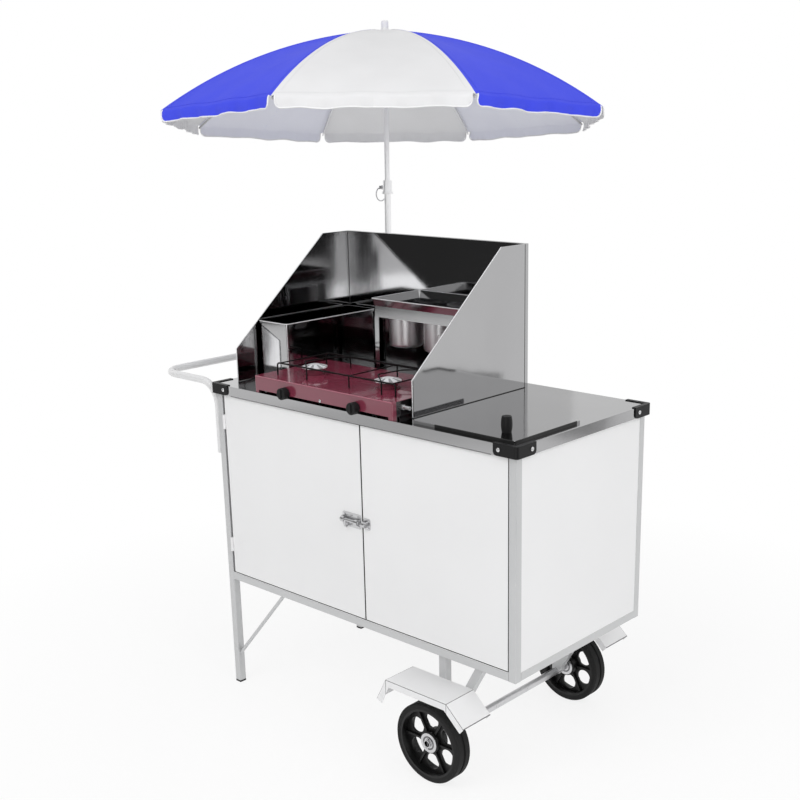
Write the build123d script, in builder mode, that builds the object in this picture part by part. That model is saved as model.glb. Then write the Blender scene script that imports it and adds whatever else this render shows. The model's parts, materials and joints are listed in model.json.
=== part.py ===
from build123d import *
import os
from math import acos, asin, atan2, cos, degrees, hypot, radians, sin, sqrt

# Street food cart: a tube frame on two legs and two wheels, with a steel counter,
# a splash hood, a two-burner stove, a pot rack, a bin, a sunk well and an umbrella.
# The origin is the floor under the front left leg: +X right, +Y back, +Z up.

# Counter top
counter_length = 1000.0
counter_width = 500.0
counter_height = 843.0
counter_sheet = 1.2
rim_depth = 25.0
counter_overhang = 7.0

# Tube frame
tube = 20.0
tube_wall = 1.5
body_underside = 306.0
foot_thickness = 5.0
foot_plug = 14.0
foot_plug_clearance = 0.1
brace_diameter = 9.5
brace_low = 88.0
brace_reach = 203.0

# Sheet panels, door and fixed front panel
panel_sheet = 1.0
panel_inset = 1.0
floor_sheet = 1.2
leaf_sheet = 1.0
leaf_depth = 12.0
leaf_gap = 0.5
leaf_bottom_gap = 4.0
leaf_head_gap = 6.0
door_split = 515.0
split_gap = 4.5
hinge_seam = 9.0
panel_side_gap = 2.0
cleat_width = 16.0
cleat_thickness = 2.0
cleat_end_gap = 12.0

# Door hinges
hinge_radius = 4.2
hinge_pin_radius = 2.0
hinge_pin_clearance = 0.15
hinge_height = 38.0
hinge_end_gap = 0.3
hinge_forward = 1.0
hinge_tab = 4.0
hinge_low = 77.0
hinge_high = 72.5

# Sliding latch
latch_rise = 246.0
latch_plate_length = 62.0
latch_plate_height = 36.0
latch_plate_sheet = 1.5
latch_edge_gap = 2.5
latch_corner = 5.0
bolt_radius = 4.5
bolt_clearance = 0.4
bolt_lift = 5.5
bolt_tip_gap = 3.5
bolt_tail = 4.0
bolt_lug = 6.0
bolt_lug_drop = 14.0
guide_width = 10.0
guide_wall = 2.5
guide_end = 3.0
eye_radius = 3.2
keeper_width = 22.0
keeper_height = 28.0
keeper_gap = 4.0

# Plastic corner guards on the counter rim
guard_arm = 62.0
guard_thickness = 3.0
guard_top = 2.0
guard_top_width = 8.0
guard_corner_radius = 8.0
guard_end_radius = 9.0

# Splash hood of three shallow steel pans
hood_left = 28.0
hood_right = 649.0
hood_front = 30.0
hood_back = 436.0
hood_front_height = 88.0
hood_height = 355.0
hood_top_front = 346.0
hood_flange = 4.0
hood_bevel = 1.6
hood_back_flange = 14.0
hood_back_inset = 1.5
hood_sheet = 1.2

# Push handle
handle_diameter = 19.0
handle_wall = 1.5
handle_drop = 3.0
handle_leg = 186.5
handle_reach = 258.0
handle_bend = 62.0

# Wheels, axle, struts and fenders
wheel_radius = 97.5
wheel_width = 43.0
wheel_x = 750.0
wheel_gap = 11.5
rear_wheel_gap = 21.5
wheel_side_clearance = 0.5
tyre_depth = 13.5
tread_groove_width = 7.0
tread_groove_depth = 3.0
tyre_shoulder = 3.0
rim_wall = 5.0
web_thickness = 5.0
web_hole_count = 6
web_hole_radius = 19.5
web_hole_circle = 53.0
web_rib_width = 5.0
web_rib_proud = 6.0
hub_radius = 27.0
hub_recess = 8.5
bore_clearance = 0.3
axle_diameter = 19.0
axle_bore = 15.0
axle_end = 6.0
washer_radius = 24.0
washer_thickness = 2.5
washer_clearance = 0.05
cotter_radius = 1.5
cotter_length = 25.0
cotter_clearance = 0.05
strut = 20.0
strut_inset = 3.0
strut_wall = 1.5
strut_lean = 115.0
saddle_clearance = 0.1
fender_height = 245.0
fender_top_length = 187.0
fender_width = 94.0
fender_left_reach = 30.0
fender_left_drop = 57.0
fender_right_reach = 51.0
fender_right_drop = 46.0
fender_lip = 17.0
fender_sheet = 1.2

# Two-burner table stove
stove_left = 152.0
stove_length = 476.0
stove_front = -15.0
stove_depth = 250.0
stove_height = 42.0
stove_sheet = 1.2
stove_foot = 14.0
stove_slot = 7.0
stove_edge = 4.0
burner_spread = 127.0
burner_setback = 101.0
burner_hole = 26.0
burner_clearance = 0.3
burner_cup_depth = 26.0
burner_flange_radius = 28.5
burner_flange = 2.0
burner_head_radius = 21.0
burner_head = 16.0
burner_cap_radius = 32.0
burner_cap = 8.0
burner_crown_radius = 12.0
burner_cap_notches = 16
notch_width = 2.4
notch_depth = 5.0
manifold_y = 12.0
manifold_drop = 14.0
manifold_radius = 6.0
manifold_start = 70.0
nozzle_reach = 28.0
nozzle_radius = 4.5
nozzle_bore = 2.2
valve_width = 18.0
valve_height = 22.0
stem_radius = 3.5
stem_reach = 14.0
stem_hole_clearance = 1.5
knob_spread = 121.0
knob_drop = 28.5
knob_radius = 14.5
knob_gap = 2.5
knob_length = 17.0
knob_edge = 2.0
knob_grip = 2.5
knob_grip_width = 7.0
knob_bore_clearance = 0.3
wire_radius = 2.0
arm_radius = 1.6
leg_radius = 1.8
wire_clearance = 2.0
wire_front = 58.0
wire_back = 106.0
wire_left = 72.0
wire_right = 80.0
wire_bend = 8.0
arm_front = 35.0
arm_back = 18.0
arm_bends = ((-28.0, -5.0), (-20.0, 65.0))

# Open bin, pot rack, pots
bin_left = 37.0
bin_front = 101.0
bin_length = 110.0
bin_width = 320.0
bin_height = 153.0
bin_sheet = 1.0
bin_hem = 3.0
bin_corner = 10.0
rack_left = 299.0
rack_front = 253.0
rack_length = 303.0
rack_width = 180.0
rack_height = 215.0
rack_lip = 19.0
rack_wall = 28.0
rack_step = 6.0
rack_sheet = 1.2
rack_corner = 8.0
rack_leg = 14.0
rack_leg_sheet = 2.0
pot_radius = 43.5
pot_sheet = 1.0
pot_height = 76.0
pot_rim = 5.0
pot_clearance = 0.6
pot_spread = 59.0
pot_setback = 58.0
pot_centre = 425.0
pot_base_radius = 8.0

# Sunk well with a lift-off lid
lid_left = 673.0
lid_front = 1.0
lid_length = 290.0
lid_width = 235.0
lid_height = 7.0
lid_sheet = 1.2
lid_corner = 6.0
lid_edge = 1.5
well_margin = 14.0
well_flange = 8.0
well_sheet = 1.0
well_depth = 100.0
well_corner = 18.0
well_clearance = 0.5
lid_knob_x = 903.0
lid_knob_y = 49.0
lid_knob_radius = 12.5
lid_knob_end = 10.5
lid_knob_height = 36.0
lid_knob_round = 2.0

# Umbrella: leaning pole, its socket on the back of the cart and the pole halves
seat_x = 126.0
seat_y = 491.0
seat_drop = 243.0
lean_left = 0.05655
lean_back = 0.07114
lower_pole_radius = 9.0
lower_pole_bore = 7.3
lower_pole_length = 722.0
pole_clearance = 0.3
upper_pole_radius = 7.0
upper_pole_bore = 5.5
upper_pole_start = 380.0
socket_wall = 3.2
socket_floor = 4.0
socket_height = 190.0
strap_width = 40.0
strap_thickness = 3.0
strap_top_gap = 4.0
lug_width = 12.0
lug_height = 40.0
collar_height = 36.0
collar_lip = 9.0
collar_wall = 3.5
collar_flange = 3.0
collar_flange_height = 6.0
pin_level = 713.0
pin_radius = 2.5
pin_clearance = 0.3
pin_travel = 6.0
pin_tip_gap = 0.4
pin_head_radius = 6.0
pin_head = 2.0
pin_eye = 9.0
pin_eye_thickness = 3.0
pin_eye_bore = 2.4
ring_radius = 18.0
ring_wire = 1.6
ring_hang = 0.5
pin_hole_count = 5
pin_hole_pitch = 50.0

# Umbrella: canopy, ribs, stretchers and runner
gore_count = 8
first_rib_angle = -116.2
canopy_radius = 606.0
canopy_rim = 900.5
canopy_rise = 224.0
canopy_bulge = 15.5
canopy_cloth = 1.5
canopy_steps = 6
canopy_crown_radius = 22.0
canopy_hole = 7.0
valance_drop = 30.0
valance_side_gap = 9.0
valance_corner = 13.0
rib_cloth_gap = 4.0
rib_depth = 5.0
rib_thickness = 3.0
rib_tip_gap = 4.0
rib_eye = 4.0
pivot_circle = 14.0
pivot_pin = 1.5
pivot_clearance = 0.3
fold_angle = 48.0
stretcher_reach = 203.0
stretcher_depth = 5.0
stretcher_thickness = 2.4
stretcher_eye = 3.8
stretcher_gap = 0.4
slot_clearance = 0.4
hub_flange_radius = 21.0
hub_flange = 8.0
hub_core = 9.4
hub_sleeve = 16.0
hub_sleeve_radius = 11.0
hub_fit = 0.05
runner_sleeve = 14.0
runner_lip = 4.0
runner_lip_radius = 15.0
finial_radius = 11.0
finial_base = 5.0
finial_knob = 10.0
finial_height = 27.0
finial_round = 5.5
finial_stem = 5.0
finial_seat_gap = 0.3

# Places that follow from the sizes above
half = tube / 2
post_inset = counter_overhang + half
frame_length = counter_length - 2 * post_inset
frame_width = counter_width - 2 * post_inset
rim_left = -post_inset
rim_front = -post_inset
rim_bottom = counter_height - rim_depth
mid_x = frame_length / 2
mid_y = frame_width / 2
tube_bore = tube - 2 * tube_wall
under_top = counter_height - counter_sheet
top_rail = under_top - tube
rail_top = body_underside + tube
leaf_front = -half
leaf_bottom = rail_top + leaf_bottom_gap
leaf_top = top_rail - leaf_head_gap
leaf_height = leaf_top - leaf_bottom
leaf_mid = (leaf_bottom + leaf_top) / 2
stop_face = leaf_front + leaf_depth + leaf_gap
door_left = half + hinge_seam
door_right = door_split - split_gap / 2
front_panel_left = door_split + split_gap / 2
front_panel_right = frame_length - half - panel_side_gap
hinge_levels = (leaf_bottom + hinge_low, leaf_top - hinge_high)
latch_level = leaf_bottom + latch_rise
handle_height = counter_height - handle_drop
handle_foot = handle_height - handle_leg
seat_z = counter_height - seat_drop

os.makedirs("parts", exist_ok=True)


def save(part, name):
    """Label a finished piece and write it under its own name."""
    part.label = name
    export_step(part, f"parts/{name}.step")


# Four corner posts; the left pair runs on down to the floor as legs
with BuildPart() as corner_posts:
    for post_x, post_foot in ((0, foot_thickness), (frame_length, body_underside)):
        with BuildSketch(Plane.XY.offset(post_foot)):
            with Locations((post_x, 0), (post_x, frame_width)):
                RectangleRounded(tube, tube, tube_wall)
                Rectangle(tube_bore, tube_bore, mode=Mode.SUBTRACT)
        extrude(amount=under_top - post_foot)
save(corner_posts.part, "corner_posts")

# Plastic caps pushed into the two legs
with BuildPart() as leg_feet:
    with BuildSketch():
        with Locations((0, 0), (0, frame_width)):
            RectangleRounded(tube, tube, tube_wall)
    extrude(amount=foot_thickness)
    with BuildSketch(Plane.XY.offset(foot_thickness)):
        with Locations((0, 0), (0, frame_width)):
            plug_side = tube_bore - 2 * foot_plug_clearance
            Rectangle(plug_side, plug_side)
    extrude(amount=foot_plug)
save(leg_feet.part, "leg_feet")

# Long rails, end rails, the stop post behind the door's edge and the cleat of the fixed panel
with BuildPart() as long_and_end_rails:
    rail_levels = (body_underside + half, top_rail + half)
    with BuildSketch(Plane.YZ.offset(half)):
        with Locations(*[(y, z) for y in (0, frame_width) for z in rail_levels]):
            RectangleRounded(tube, tube, tube_wall)
            Rectangle(tube_bore, tube_bore, mode=Mode.SUBTRACT)
    extrude(amount=frame_length - tube)
    with BuildSketch(Plane.XZ.offset(-half)):
        with Locations(*[(x, z) for x in (0, frame_length) for z in rail_levels]):
            RectangleRounded(tube, tube, tube_wall)
            Rectangle(tube_bore, tube_bore, mode=Mode.SUBTRACT)
    extrude(amount=-(frame_width - tube))
with BuildPart() as stop_post:
    with BuildSketch(Plane.XY.offset(rail_top + floor_sheet)):
        with Locations((door_split, stop_face + half)):
            RectangleRounded(tube, tube, tube_wall)
            Rectangle(tube_bore, tube_bore, mode=Mode.SUBTRACT)
    extrude(amount=top_rail - rail_top - floor_sheet)
with BuildPart() as panel_cleat:
    with BuildSketch(Plane.XY.offset(leaf_bottom + cleat_end_gap)):
        with Locations((frame_length - half, stop_face)):
            Rectangle(cleat_width, cleat_thickness, align=(Align.MAX, Align.MIN))
    extrude(amount=leaf_height - 2 * cleat_end_gap)
save(Compound(children=[long_and_end_rails.part, stop_post.part, panel_cleat.part]), "frame_rails")

# Rods that brace the legs, and the square struts that carry the axle
strut_mid = strut_inset + strut / 2
strut_rise = body_underside - wheel_radius
half_cut = strut / 2 * hypot(strut_lean, strut_rise) / strut_rise
strut_rows = (strut_mid, frame_width - strut_mid)
with BuildPart() as frame_braces:
    brace_angle = Vector(brace_reach - half, 0, body_underside - brace_low)
    brace_start = Vector(half, 0, brace_low) - brace_angle * 0.1
    for row in (0, frame_width):
        with BuildSketch(Plane(origin=brace_start + Vector(0, row, 0), z_dir=brace_angle)):
            Circle(brace_diameter / 2)
        extrude(amount=brace_angle.length * 1.2)
    with BuildSketch(Plane.XZ.offset(half)):
        with Locations((half, 0)):
            Rectangle(brace_reach, body_underside, align=(Align.MIN, Align.MIN))
    extrude(amount=-(frame_width + tube), mode=Mode.INTERSECT)
    with BuildSketch(Plane.XY.offset(wheel_radius)):
        with Locations(*[(wheel_x, row) for row in strut_rows]):
            Rectangle(strut, strut)
            Rectangle(strut - 2 * strut_wall, strut - 2 * strut_wall, mode=Mode.SUBTRACT)
    extrude(amount=strut_rise)
    for row in strut_rows:
        with BuildSketch(Plane.XZ.offset(strut / 2 - row)):
            with BuildLine():
                meeting = (strut / 2 + half_cut) * strut_rise / strut_lean
                Polyline(
                    (wheel_x + strut / 2, wheel_radius + meeting),
                    (wheel_x + strut / 2, wheel_radius),
                    (wheel_x + strut_lean + half_cut, body_underside),
                    (wheel_x + strut_lean - half_cut, body_underside),
                    close=True,
                )
            make_face()
        extrude(amount=-strut)
    with BuildSketch(Plane.XZ.offset(half)):
        with Locations((wheel_x, wheel_radius)):
            Circle(axle_diameter / 2 + saddle_clearance)
    extrude(amount=-(frame_width + tube), mode=Mode.SUBTRACT)
save(frame_braces.part, "frame_braces")

# Floor, back and end sheets, set a little in from the faces of the tubes
panel_face = half - panel_inset
inner_face = panel_face - panel_sheet
panel_height = top_rail - rail_top
with BuildPart() as floor_panel:
    with BuildSketch(Plane.XY.offset(rail_top)):
        with Locations((-inner_face, -half)):
            Rectangle(
                frame_length + 2 * inner_face,
                frame_width + half + inner_face,
                align=(Align.MIN, Align.MIN),
            )
        with Locations((0, 0), (frame_length, 0), (0, frame_width), (frame_length, frame_width)):
            Rectangle(tube, tube, mode=Mode.SUBTRACT)
    extrude(amount=floor_sheet)
with BuildPart() as back_panel:
    with BuildSketch(Plane.XZ.offset(-(frame_width + inner_face))):
        with Locations((mid_x, rail_top)):
            Rectangle(frame_length - tube, panel_height, align=(Align.CENTER, Align.MIN))
    extrude(amount=-panel_sheet)
with BuildPart() as end_panels:
    for face_x in (-panel_face, frame_length + inner_face):
        with BuildSketch(Plane.YZ.offset(face_x)):
            with Locations((mid_y, rail_top)):
                Rectangle(frame_width - tube, panel_height, align=(Align.CENTER, Align.MIN))
        extrude(amount=panel_sheet)
save(Compound(children=[floor_panel.part, back_panel.part, end_panels.part]), "body_panels")


def folded_leaf(left, right, depth):
    """A front leaf: one sheet with its four edges folded back."""
    with BuildPart() as leaf:
        with BuildSketch(Plane.XZ.offset(-leaf_front)):
            with Locations(((left + right) / 2, leaf_mid)):
                Rectangle(right - left, leaf_height)
        extrude(amount=-depth)
        offset(amount=-leaf_sheet, openings=leaf.faces().sort_by(Axis.Y)[-1])
    return leaf.part


save(folded_leaf(front_panel_left, front_panel_right, leaf_depth + leaf_gap), "front_panel")
save(folded_leaf(door_left, door_right, leaf_depth), "door")

# Weld-on barrel hinges: lower barrels with pins on the post, upper sleeves on the door
hinge_x = half + hinge_seam / 2
hinge_y = leaf_front - hinge_forward
barrel = (hinge_height - hinge_end_gap) / 2
with BuildPart() as hinge_pins:
    for level in hinge_levels:
        with BuildSketch(Plane.XY.offset(level - hinge_height / 2)):
            with Locations((hinge_x, hinge_y)):
                Circle(hinge_radius)
            with Locations((half, leaf_front)):
                Rectangle(hinge_seam / 2, hinge_tab, align=(Align.MIN, Align.MIN))
        extrude(amount=barrel)
        with BuildSketch(Plane.XY.offset(level - hinge_height / 2)):
            with Locations((hinge_x, hinge_y)):
                Circle(hinge_pin_radius)
        extrude(amount=hinge_height - hinge_pin_radius)
save(hinge_pins.part, "hinge_pins")

with BuildPart() as hinge_sleeves:
    for level in hinge_levels:
        with BuildSketch(Plane.XY.offset(level + hinge_height / 2 - barrel)):
            with Locations((hinge_x, hinge_y)):
                Circle(hinge_radius)
            with Locations((door_left, leaf_front)):
                Rectangle(hinge_seam / 2, hinge_tab, align=(Align.MAX, Align.MIN))
            with Locations((hinge_x, hinge_y)):
                Circle(hinge_pin_radius + hinge_pin_clearance, mode=Mode.SUBTRACT)
        extrude(amount=barrel)
save(hinge_sleeves.part, "hinge_sleeves")

# Sliding bolt on the door: plate with two guides and a padlock eye
latch_right = door_right - latch_edge_gap
latch_left = latch_right - latch_plate_length
bolt_y = leaf_front - latch_plate_sheet - bolt_lift
guide_height = 2 * (bolt_radius + bolt_clearance + guide_wall)


def bolt_guide(start_x):
    """A bolt guide, standing on its plate with a rounded back."""
    with BuildPart() as guide:
        with BuildSketch(Plane.YZ.offset(start_x)):
            with Locations((bolt_y, latch_level)):
                Circle(guide_height / 2)
                Rectangle(bolt_lift, guide_height, align=(Align.MIN, Align.CENTER))
                Circle(bolt_radius + bolt_clearance, mode=Mode.SUBTRACT)
            with Locations((bolt_y + bolt_lift, latch_level)):
                Rectangle(
                    guide_height,
                    guide_height,
                    align=(Align.MIN, Align.CENTER),
                    mode=Mode.SUBTRACT,
                )
        extrude(amount=guide_width)
    return guide.part


with BuildPart() as latch_plate:
    with BuildSketch(Plane.XZ.offset(-leaf_front)):
        with Locations(((latch_left + latch_right) / 2, latch_level)):
            RectangleRounded(latch_plate_length, latch_plate_height, latch_corner)
    extrude(amount=latch_plate_sheet)
    add(bolt_guide(latch_left + guide_end))
    add(bolt_guide(latch_right - guide_end - guide_width))
save(latch_plate.part, "latch_plate")

# Round bolt, drawn back at rest, with a flat lug that takes the padlock
lug_start = latch_left + guide_end + guide_width + leaf_gap
with BuildPart() as latch_bolt:
    bolt_start = latch_left + guide_end - bolt_tail
    with BuildSketch(Plane.YZ.offset(bolt_start)):
        with Locations((bolt_y, latch_level)):
            Circle(bolt_radius)
    extrude(amount=door_right - bolt_tip_gap - bolt_start)
    chamfer(latch_bolt.edges().filter_by(GeomType.CIRCLE), bolt_radius / 4)
    with BuildSketch(Plane.YZ.offset(lug_start)):
        with Locations((bolt_y, latch_level - bolt_lug_drop / 2)):
            SlotCenterToCenter(bolt_lug_drop, 2 * bolt_radius, rotation=90)
        with Locations((bolt_y, latch_level - bolt_lug_drop)):
            Circle(eye_radius, mode=Mode.SUBTRACT)
    extrude(amount=bolt_lug)
save(latch_bolt.part, "latch_bolt")

with BuildPart() as latch_keeper:
    keeper_left = front_panel_left + keeper_gap - split_gap / 2
    with BuildSketch(Plane.XZ.offset(-leaf_front)):
        with Locations((keeper_left + keeper_width / 2, latch_level)):
            RectangleRounded(keeper_width, keeper_height, latch_corner)
    extrude(amount=latch_plate_sheet)
    add(bolt_guide(keeper_left + guide_end))
save(latch_keeper.part, "latch_keeper")

# Counter: one sheet folded down all round, with the opening of the well
well_left = lid_left + well_margin
well_front = lid_front + well_margin
well_length = lid_length - 2 * well_margin
well_width = lid_width - 2 * well_margin
well_mid = (well_left + well_length / 2, well_front + well_width / 2)
with BuildPart() as counter_top:
    with BuildSketch(Plane.XY.offset(rim_bottom)):
        with Locations((rim_left, rim_front)):
            Rectangle(counter_length, counter_width, align=(Align.MIN, Align.MIN))
    extrude(amount=rim_depth)
    offset(amount=-counter_sheet, openings=counter_top.faces().sort_by(Axis.Z)[0])
    with BuildSketch(Plane.XY.offset(counter_height)):
        with Locations(well_mid):
            RectangleRounded(well_length, well_width, well_corner)
    extrude(amount=-rim_depth, mode=Mode.SUBTRACT)
save(counter_top.part, "counter_top")

# Plastic guards over the four corners of the rim
with BuildPart() as corner_guards:
    guard_reach = guard_arm + guard_thickness
    guard_x = rim_left - guard_thickness
    guard_y = rim_front - guard_thickness
    with BuildSketch(Plane.XY.offset(rim_bottom)):
        with Locations((guard_x, guard_y)):
            Rectangle(guard_reach, guard_reach, align=(Align.MIN, Align.MIN))
        with Locations((rim_left, rim_front)):
            Rectangle(guard_reach, guard_reach, align=(Align.MIN, Align.MIN), mode=Mode.SUBTRACT)
    extrude(amount=rim_depth)
    with BuildSketch(Plane.XY.offset(counter_height)):
        with Locations((guard_x, guard_y)):
            Rectangle(guard_reach, guard_reach, align=(Align.MIN, Align.MIN))
        with Locations((rim_left + guard_top_width, rim_front + guard_top_width)):
            Rectangle(guard_reach, guard_reach, align=(Align.MIN, Align.MIN), mode=Mode.SUBTRACT)
    extrude(amount=guard_top)
    outer_corner = (guard_x, guard_y, counter_height)
    fillet(
        corner_guards.edges().filter_by(Axis.Z).sort_by_distance(outer_corner)[0],
        guard_corner_radius,
    )
    arm_ends = (
        corner_guards.edges().filter_by(Axis.Y).group_by(Axis.Z)[0].sort_by(Axis.X)[-1],
        corner_guards.edges().filter_by(Axis.X).group_by(Axis.Z)[0].sort_by(Axis.Y)[-1],
    )
    fillet(arm_ends, guard_end_radius)
    mirror(about=Plane.YZ.offset(mid_x))
    mirror(about=Plane.XZ.offset(-mid_y))
save(corner_guards.part, "corner_guards")

# Side shields: sloping outline, folded in all round
hood_outline = (
    (hood_front, counter_height),
    (hood_front, counter_height + hood_front_height),
    (hood_top_front, counter_height + hood_height),
    (hood_back, counter_height + hood_height),
    (hood_back, counter_height),
)


def side_shield(outer_x, inward):
    """A shallow pan whose outer face lies at outer_x and whose edges point inward."""
    with BuildPart() as shield:
        with BuildSketch(Plane.YZ.offset(outer_x)):
            with BuildLine():
                Polyline(*hood_outline, close=True)
            make_face()
        extrude(amount=inward * hood_flange)
        chamfer(shield.faces().sort_by(Axis.X)[0 if inward > 0 else -1].edges(), hood_bevel)
        inner_side = shield.faces().sort_by(Axis.X)[-1 if inward > 0 else 0]
        offset(amount=-hood_sheet, openings=inner_side)
    return shield.part


save(side_shield(hood_left, 1), "left_shield")
save(side_shield(hood_right, -1), "right_shield")

# Back shield, its edges folded to the rear
with BuildPart() as back_shield:
    with BuildSketch(Plane.XZ.offset(-hood_back)):
        with Locations((hood_left + hood_back_inset, counter_height)):
            back_length = hood_right - hood_left - 2 * hood_back_inset
            Rectangle(back_length, hood_height, align=(Align.MIN, Align.MIN))
    extrude(amount=-hood_back_flange)
    offset(amount=-hood_sheet, openings=back_shield.faces().sort_by(Axis.Y)[-1])
save(back_shield.part, "back_shield")

# Push handle: one bent tube whose ends run down the outside of the legs
with BuildPart() as handle:
    handle_x = -half - handle_diameter / 2
    with BuildLine():
        FilletPolyline(
            (handle_x, 0, handle_foot),
            (handle_x, 0, handle_height),
            (-handle_reach, 0, handle_height),
            (-handle_reach, frame_width, handle_height),
            (handle_x, frame_width, handle_height),
            (handle_x, frame_width, handle_foot),
            radius=handle_bend,
        )
    with BuildSketch(Plane.XY.offset(handle_foot)):
        with Locations((handle_x, 0)):
            Circle(handle_diameter / 2)
            Circle(handle_diameter / 2 - handle_wall, mode=Mode.SUBTRACT)
    sweep()
save(handle.part, "handle")

# Tubular axle with washers and cotter pins at both ends
wheel_inner = -wheel_gap
wheel_outer = wheel_inner - wheel_width
wheel_mid = (wheel_inner + wheel_outer) / 2
washer_step = washer_thickness + wheel_side_clearance
hub_face = wheel_outer + hub_recess
axle_tip = hub_face - washer_step - axle_end
axle_mirror = frame_width + rear_wheel_gap - wheel_gap
cotter_points = [(wheel_x, axle_tip + axle_end / 2), (wheel_x, axle_mirror - axle_tip - axle_end / 2)]
washer_faces = (hub_face - washer_step, wheel_inner + wheel_side_clearance)
axle_side = axle_diameter / 2
with BuildPart() as axle:
    with BuildSketch(Plane.XZ.offset(-axle_tip)):
        with Locations((wheel_x, wheel_radius)):
            Circle(axle_side)
            Circle(axle_bore / 2, mode=Mode.SUBTRACT)
    extrude(amount=-(axle_mirror - 2 * axle_tip))
    with BuildSketch(Plane.XY.offset(wheel_radius)):
        with Locations(*cotter_points):
            Circle(cotter_radius + cotter_clearance)
    extrude(amount=axle_diameter, both=True, mode=Mode.SUBTRACT)
    for face_y in washer_faces:
        with BuildSketch(Plane.XZ.offset(-face_y)):
            with Locations((wheel_x, wheel_radius)):
                Circle(washer_radius)
                Circle(axle_side + washer_clearance, mode=Mode.SUBTRACT)
        extrude(amount=-washer_thickness)
        with BuildSketch(Plane.XZ.offset(face_y - axle_mirror)):
            with Locations((wheel_x, wheel_radius)):
                Circle(washer_radius)
                Circle(axle_side + washer_clearance, mode=Mode.SUBTRACT)
        extrude(amount=washer_thickness)
    with BuildSketch(Plane.XY.offset(wheel_radius)):
        with Locations(*cotter_points):
            Circle(cotter_radius)
    extrude(amount=cotter_length / 2, both=True)
save(axle.part, "axle")


def wheel(centre_y, outward):
    """A moulded six-hole wheel with its tyre; its dished face looks outward along Y."""
    tyre_inner = wheel_radius - tyre_depth
    hub_plane = Plane(origin=(wheel_x, centre_y, wheel_radius), x_dir=(1, 0, 0), z_dir=(0, outward, 0))
    spin = Axis((wheel_x, centre_y, wheel_radius), (0, 1, 0))
    side = wheel_width / 2
    with BuildPart() as rim:
        with BuildSketch(hub_plane.offset(-side)):
            Circle(tyre_inner)
            Circle(tyre_inner - rim_wall, mode=Mode.SUBTRACT)
        extrude(amount=wheel_width)
        with BuildSketch(hub_plane.offset(-web_thickness / 2)):
            Circle(tyre_inner - rim_wall / 2)
            with PolarLocations(web_hole_circle, web_hole_count, start_angle=180 / web_hole_count):
                Circle(web_hole_radius, mode=Mode.SUBTRACT)
        extrude(amount=web_thickness)
        with BuildSketch(hub_plane.offset(-side)):
            Circle(hub_radius)
        extrude(amount=wheel_width - hub_recess)
        rib_span = tyre_inner - rim_wall / 2 - hub_radius / 2
        with BuildSketch(hub_plane):
            with PolarLocations(hub_radius / 2 + rib_span / 2, web_hole_count):
                Rectangle(rib_span, web_rib_width)
        extrude(amount=web_thickness / 2 + web_rib_proud, both=True)
        with BuildSketch(hub_plane.offset(-side)):
            Circle(axle_side + bore_clearance)
        extrude(amount=wheel_width, mode=Mode.SUBTRACT)
        with BuildSketch(Plane(origin=spin.position, x_dir=(1, 0, 0), z_dir=(0, 0, 1))):
            with BuildLine():
                Polyline(
                    (tyre_inner, -side),
                    (wheel_radius - tyre_shoulder, -side),
                    (wheel_radius, -side + tyre_shoulder),
                    (wheel_radius, -tread_groove_width / 2),
                    (wheel_radius - tread_groove_depth, -tread_groove_width / 2),
                    (wheel_radius - tread_groove_depth, tread_groove_width / 2),
                    (wheel_radius, tread_groove_width / 2),
                    (wheel_radius, side - tyre_shoulder),
                    (wheel_radius - tyre_shoulder, side),
                    (tyre_inner, side),
                    close=True,
                )
            make_face()
        tyre = revolve(axis=spin, mode=Mode.PRIVATE)
    return Compound(children=[rim.part, tyre])


save(wheel(wheel_mid, -1), "front_wheel")
save(wheel(axle_mirror - wheel_mid, 1), "rear_wheel")


def banded(points, depth):
    """A line's points, then those of its copy set to the right by depth, turned back."""
    ends = [Vector(*point) for point in points]
    runs = [(after - before).normalized() for before, after in zip(ends, ends[1:])]
    sides = [Vector(run.Y, -run.X) for run in runs]
    copy = [ends[0] + sides[0] * depth]
    for corner, before, after in zip(ends[1:-1], sides, sides[1:]):
        copy.append(corner + (before + after) * (depth / (1 + before.dot(after))))
    copy.append(ends[-1] + sides[-1] * depth)
    return [*ends, *reversed(copy)]


# Folded fenders over the wheels, with a lip on both sides, fixed to the struts
fender_left = wheel_x - fender_top_length / 2
fender_right = wheel_x + fender_top_length / 2
fender_profile = (
    (fender_left - fender_left_reach, fender_height - fender_left_drop),
    (fender_left, fender_height),
    (fender_right, fender_height),
    (fender_right + fender_right_reach, fender_height - fender_right_drop),
)
fender_bands = (
    (fender_width, fender_sheet, fender_width),
    (fender_width, fender_lip, fender_sheet),
    (fender_sheet, fender_lip, fender_sheet),
)
with BuildPart() as fenders:
    for forward, band, length in fender_bands:
        with BuildSketch(Plane.XZ.offset(forward - strut_inset)):
            with BuildLine():
                Polyline(*banded(fender_profile, band), close=True)
            make_face()
        extrude(amount=-length)
    mirror(about=Plane.XZ.offset(-mid_y))
save(fenders.part, "fenders")

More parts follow.
